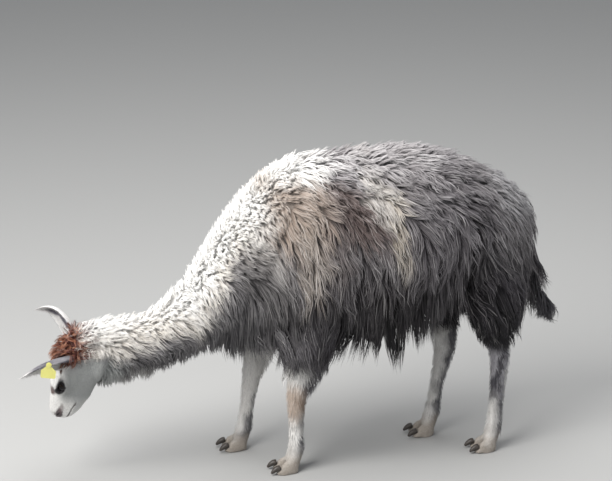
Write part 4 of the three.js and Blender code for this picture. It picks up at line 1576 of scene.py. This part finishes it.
def neck_color(g, x, z):
    """White above and grey below, darker further down and at the chest: partly their own colour,
    partly painted shade under them.
    """
    mid = g.math(
        "MAXIMUM",
        g.math("MULTIPLY_ADD", x, 1.50, 0.748 + 0.33 * 1.50),
        g.math("MULTIPLY_ADD", x, 0.22, 0.552 + 0.54 * 0.22),
    )
    above = g.math("SUBTRACT", z, mid)
    # darker further down the neck: partly its own grey, partly painted shade under it
    low = g.mix(g.ramp(above, -0.10, -0.03), (0.105, 0.101, 0.107), (0.24, 0.23, 0.235))
    neck = g.mix(g.ramp(above, -0.045, 0.005), low, CREAM)
    neck = g.mix(g.ramp(above, 0.0, 0.07), neck, WHITE)
    # the chest darker lower down: partly its own colour, partly painted shade under the body
    chest = g.mix(g.ramp(z, 0.84, 0.62), (0.27, 0.255, 0.25), (0.062, 0.058, 0.063))
    chest = g.mix(g.ramp(z, 0.77, 0.91), chest, CREAM)
    return g.mix(g.ramp(x, -0.34, -0.16, 0.0, 0.85), neck, chest)


def leg_color(g, exact, x, z):
    """Pale in front and grey behind, each about its own leg's axis."""
    ex, ey, ez = g.separate(exact)
    left, hind = g.ramp(ey, 0.02, -0.02), g.ramp(ex, 0.20, 0.30)
    axes = []
    for pair in LEG_AXES:
        right_axis, left_axis = (
            g.combine(g.math("MULTIPLY_ADD", ez, rise, at), y, 0) for _, at, rise, y in pair
        )
        axes.append(g.mix(left, right_axis, left_axis))
    ahead = g.math("SUBTRACT", g.separate(g.mix(hind, *axes))[0], x)
    pale = g.mix(g.noise(exact, 38.0, 3.0)[0], (0.56, 0.54, 0.52), (0.84, 0.83, 0.81))
    dusky = g.mix(g.noise(exact, 30.0, 3.0)[0], (0.040, 0.038, 0.046), (0.20, 0.195, 0.21))
    leg = g.mix(g.ramp(ahead, -0.022, 0.012), dusky, pale)
    grey = g.mix(g.noise(exact, 34.0, 3.0)[0], (0.16, 0.155, 0.175), (0.44, 0.43, 0.45))
    stripe = g.ramp(g.math("ABSOLUTE", g.math("ADD", ahead, -0.004)), 0.016, 0.004, 0.0, 0.85)
    near_hind = g.mix(stripe, grey, (0.030, 0.028, 0.036))
    near_hind = g.mix(g.ramp(ahead, -0.016, -0.034), near_hind, pale)
    near_hind = g.mix(g.ramp(z, 0.16, 0.24), leg, near_hind)
    leg = g.mix(g.math("MULTIPLY", hind, left), leg, near_hind)
    knee = g.patch(exact, (-0.085, 0.265), (0.05, 0.065), 0, 0.5, 0.75)
    leg = g.mix(knee, leg, (0.42, 0.31, 0.235))
    return g.mix(g.ramp(z, 0.10, 0.03), leg, (0.36, 0.32, 0.28))


def face_color(g, at, along, up):
    """White in front, with painted shade greying the cheek under the eye, the dark patches and the
    line of the mouth.
    """
    # painted shade: the cheek grey under the eye, with a faint green tinge of painted reflection
    face = g.mix(g.ramp(up, 0.060, 0.024), WHITE, (0.34, 0.35, 0.345))
    face = g.mix(g.ramp(along, 0.19, 0.25), face, (0.72, 0.71, 0.69))
    for *form, shade in FACE_PATCHES:
        face = g.mix(g.ball(at, *form), face, shade)
    mouth = g.math("SUBTRACT", up, g.math("MULTIPLY_ADD", along, 0.30, -0.086))
    mouth = g.ramp(g.math("ABSOLUTE", mouth), 0.0042, 0.0012)
    mouth = g.math("MULTIPLY", mouth, g.ramp(along, 0.222, 0.236))
    return g.mix(g.math("MULTIPLY", mouth, 0.8), face, (0.05, 0.035, 0.035))


def with_topknot(g, color, exact, at, up):
    """The rust of the topknot, with streaks of painted maroon shadow between the roots of its locks
    and in the nape.
    """
    shadow_streak = g.noise(g.stretch(exact, (60, 60, 200)), 1.0, 3.0)[0]
    rust = g.mix(g.noise(exact, 60.0, 3.0)[0], (0.20, 0.070, 0.038), (0.42, 0.200, 0.115))
    # painted shadow: maroon streaks low on the topknot towards the nape, between the roots of its
    # locks
    low = g.math("MULTIPLY", g.ramp(up, 0.082, 0.045), g.ramp(shadow_streak, 0.42, 0.52))
    rust = g.mix(low, rust, MAROON_SHADOW)
    color = g.mix(g.ball(at, (0.016, 0.0, 0.052), (0.056, 0.110, 0.066), 0.18), color, rust)
    # painted shadow: maroon streaks over the nape
    nape = g.ball(at, (0.004, 0.030, -0.006), (0.055, 0.075, 0.028), 0.35)
    nape = g.math("MULTIPLY", nape, g.ramp(shadow_streak, 0.50, 0.56))
    return g.mix(g.math("MULTIPLY", nape, 0.85), color, MAROON_SHADOW)


def markings_and_shade_group():
    """The animal's colours at a point, with painted shade laid into them: one group for the skin
    and for the roots of the coat.
    """
    tree = bpy.data.node_groups.new("markings_and_shade", "ShaderNodeTree")
    for name, way, kind in (
        ("Position", "INPUT", "NodeSocketVector"),
        ("Ear", "INPUT", "NodeSocketFloat"),
        ("Color", "OUTPUT", "NodeSocketColor"),
    ):
        tree.interface.new_socket(name, in_out=way, socket_type=kind)
    g = Graph(tree)
    given = g.node("NodeGroupInput").outputs
    exact = g.vector("SUBTRACT", given["Position"], (ORIGIN_X, 0, 0))
    coarse, fine, jitter = (g.noise(exact, scale)[1] for scale in (7.0, 26.0, 55.0))
    where = g.vector("ADD", exact, g.shift(coarse, 0.10))
    where = g.vector("ADD", where, g.shift(fine, 0.045))
    x, _, z = g.separate(where)
    # darker low on the body: partly the coat's own dark underside, partly painted shade under the
    # body
    color = g.mix(g.ramp(z, 0.92, 0.64), GREY, (0.046, 0.042, 0.047))
    color = g.mix(g.ramp(z, 1.03, 1.13), color, (0.42, 0.40, 0.41))
    color = g.patches(color, where, TRUNK_PATCHES)
    front = g.ramp(g.math("MULTIPLY_ADD", z, 0.35, x), 0.20, 0.06)
    color = g.mix(front, color, neck_color(g, x, z))
    color = g.patches(color, where, OUTER_PATCHES)
    color = g.mix(g.ramp(z, 0.46, 0.36), color, leg_color(g, exact, x, z))
    from_poll = g.vector("SUBTRACT", given["Position"], tuple(POLL))
    hx, hy, hz = (g.vector("DOT_PRODUCT", from_poll, tuple(axis)) for axis in HEAD_AXES)
    at = g.vector("ADD", g.combine(hx, g.math("ABSOLUTE", hy), hz), g.shift(jitter, 0.016))
    along, _, up = g.separate(at)
    on_head = g.math("MULTIPLY", g.ramp(along, 0.0, 0.05), g.ramp(x, -0.66, -0.70))
    color = g.mix(on_head, color, face_color(g, at, along, up))
    color = with_topknot(g, color, exact, at, up)
    ear = g.mix(g.noise(exact, 45.0, 3.0)[0], (0.58, 0.565, 0.56), (0.82, 0.81, 0.80))
    ear = g.patches(ear, g.vector("ADD", exact, g.shift(jitter, 0.012)), EAR_PATCHES)
    color = g.mix(given["Ear"], color, ear)
    tree.links.new(color, g.node("NodeGroupOutput").inputs["Color"])
    return tree


MARKINGS_AND_SHADE = markings_and_shade_group()


def material(name):
    made = bpy.data.materials.new(name)
    made.use_nodes = True
    tree = made.node_tree
    return made, Graph(tree), tree.nodes["Principled BSDF"].inputs


def marked_and_shaded(g, where, ear):
    made = g.node("ShaderNodeGroup")
    made.node_tree = MARKINGS_AND_SHADE
    g.put(made.inputs["Position"], where)
    g.put(made.inputs["Ear"], ear)
    return made.outputs["Color"]


def coat_material(name, root_shade, contrast, ear=0.0):
    """Locks in the colour of the skin at their roots, with painted shade darkening them towards the
    roots, and each a little different.
    """
    made, g, out = material(name)
    vary, along, lock = g.separate(g.attribute("hair", "Vector"))
    color = marked_and_shaded(g, g.attribute("root", "Vector"), ear)
    # painted shade: the locks darken towards their roots, more on a dark hair than on a white one
    power = g.ramp(along, -0.1, 0.9, root_shade, 0.96)
    for own in (vary, lock):
        uneven = g.math("MULTIPLY_ADD", own, -contrast, 1 + contrast / 2)
        power = g.math("MULTIPLY", power, uneven)
    deepen = g.node("ShaderNodeGamma")  # a dark hair darkens more than a white one
    g.put(deepen.inputs["Color"], color)
    g.put(deepen.inputs["Gamma"], power)
    color = deepen.outputs["Color"]
    pale = g.math("MULTIPLY", g.ramp(vary, 0.80, 0.98), g.ramp(along, 0.1, 0.6))
    color = g.mix(g.math("MULTIPLY", pale, 0.18), color, (0.62, 0.60, 0.58))
    g.put(out["Base Color"], color)
    out["Roughness"].default_value = 0.62
    out["Specular IOR Level"].default_value = 0.28
    out["Sheen Weight"].default_value = 0.06
    out["Sheen Roughness"].default_value = 0.45
    return made


def skin_material():
    made, g, out = material("skin")
    position = g.position()
    color = marked_and_shaded(g, position, g.attribute("ear", "Fac"))
    # painted shade: the skin darkens where the coat over it is deeper
    shade = g.ramp(g.attribute("deep", "Fac"), 0.006, 0.022, 0.95, 0.70)
    color = g.mix(1.0, color, g.combine(shade, shade, shade), "MULTIPLY")
    fur = g.noise(g.stretch(position, (420, 420, 150)), 1.0, 3.0, 0.6)[0]
    wool = g.noise(position, 160, 4.0, 0.65)[0]
    tint = g.ramp(fur, 0.3, 0.7, 0.82, 1.12)
    color = g.mix(1.0, color, g.combine(tint, tint, tint), "MULTIPLY")
    g.put(out["Base Color"], color)
    out["Roughness"].default_value = 0.75
    out["Specular IOR Level"].default_value = 0.25
    out["Sheen Weight"].default_value = 0.10
    normal = g.bump(fur, 0.5, 0.0012)
    g.put(out["Normal"], g.bump(wool, 0.4, 0.0015, normal))
    return made


SKIN = skin_material()
skin_mesh.materials.append(SKIN)
add_eyes_and_lids()
finish_nails_and_tag()
FLEECE = coat_material("fleece", 1.30, 0.40)
SHORT = coat_material("short_fur", 1.12, 0.22)
EAR_HAIR = coat_material("ear_fur", 1.12, 0.22, 1.0)
CROWN = coat_material("topknot", 1.30, 0.45)


def trunk_pieces(part):
    """Cuts the long coat into pieces by side and by place along the body."""
    root = part[3]
    x, left = root[:, 0] - ORIGIN_X, root[:, 1] < 0
    bands = (("front", x < 0.09), ("middle", (x >= 0.09) & (x < 0.46)), ("rear", x >= 0.46))
    for sign, side, mine in ((-1, "left", left), (1, "right", ~left)):
        for name, band in bands:
            yield sign, "fleece_%s_%s" % (side, name), [a[mine & band] for a in part]


def dress():
    rng = np.random.default_rng(71)
    trunk, neck, tail = grow_fleece()
    for sign, name, part in trunk_pieces(trunk):
        build_coat(name, [part], half_barrel(sign), FLEECE, rng)
    for side, sign in (("left", -1), ("right", 1)):
        part = [a[neck[3][:, 1] * sign > 0] for a in neck]
        build_coat("fleece_neck_" + side, [part], half_barrel(sign), FLEECE, rng)
    build_coat("fleece_tail", [tail], tail_unwrap, FLEECE, rng)
    build_coat("topknot", [grow_crown()], head_unwrap, CROWN, rng)
    short = grow_short()
    for name, zones, unwrap, made, slot in (
        ("fur_face", ("face",), head_unwrap, SHORT, "white_wool"),
        ("fur_ears", ("ears",), head_unwrap, EAR_HAIR, "ear_hair"),
        ("fur_legs", ("legs", "feet"), leg_unwrap, SHORT, "leg_hair"),
    ):
        build_coat(name, [short[zone] for zone in zones], unwrap, made, rng, SHORT_TAPER)


dress()

# ---------------------------------------------------------------- camera, floor and light
CAMERA_AZIMUTH, CAMERA_RISE = math.radians(-15), math.radians(18)
CAMERA_REACH = 8.0
CAMERA_AIM = place(0, 0, 0.821)
LIGHT_AIM = place(0.1, 0, 0.7)
FLOOR_HALF = 30
LAMPS = (  # name, place, size, power and colour
    ("key", (-4.2, -2.4, 4.8), 4.6, 540, (1.0, 0.985, 0.96)),
    ("top", (0.3, 0.4, 6.2), 6.0, 300, (1.0, 0.99, 0.98)),
    ("fill", (4.0, -5.0, 2.2), 3.5, 30, (0.95, 0.97, 1.0)),
)


def face_towards(obj, way):
    obj.rotation_mode = "QUATERNION"
    obj.rotation_quaternion = way.to_track_quat("-Z", "Y")


def build_camera():
    level = math.cos(CAMERA_RISE)
    across, ahead = math.sin(CAMERA_AZIMUTH) * level, -math.cos(CAMERA_AZIMUTH) * level
    back = Vector((across, ahead, math.sin(CAMERA_RISE)))
    data = bpy.data.cameras.new("camera")
    data.sensor_width = 36
    data.lens = 133.0
    data.clip_end = 60
    camera = new_object("camera", data)
    camera.location = Vector(CAMERA_AIM) + back * CAMERA_REACH
    face_towards(camera, -back)
    bpy.context.scene.camera = camera


def build_floor():
    h = FLOOR_HALF
    mesh = bpy.data.meshes.new("floor")
    mesh.from_pydata([(-h, -h, 0), (h, -h, 0), (h, h, 0), (-h, h, 0)], [], [(0, 1, 2, 3)])
    floor = new_object("floor", mesh)
    plain, _, out = material("floor")
    out["Base Color"].default_value = (0.40, 0.40, 0.395, 1)
    out["Roughness"].default_value = 0.9
    mesh.materials.append(plain)


def build_light():
    world = bpy.data.worlds.new("studio")
    world.use_nodes = True
    sky = world.node_tree.nodes["Background"].inputs
    sky["Color"].default_value = (0.93, 0.96, 1.0, 1)
    sky["Strength"].default_value = 0.38
    bpy.context.scene.view_settings.view_transform = "Standard"
    bpy.context.scene.world = world
    for name, where, size, power, tint in LAMPS:
        lamp = bpy.data.lights.new(name, "AREA")
        lamp.shape = "DISK"
        lamp.size = size
        lamp.energy = power
        lamp.color = tint
        obj = new_object(name, lamp)
        obj.location = Vector(place(*where))
        face_towards(obj, Vector(LIGHT_AIM) - obj.location)


build_camera()
build_floor()
build_light()
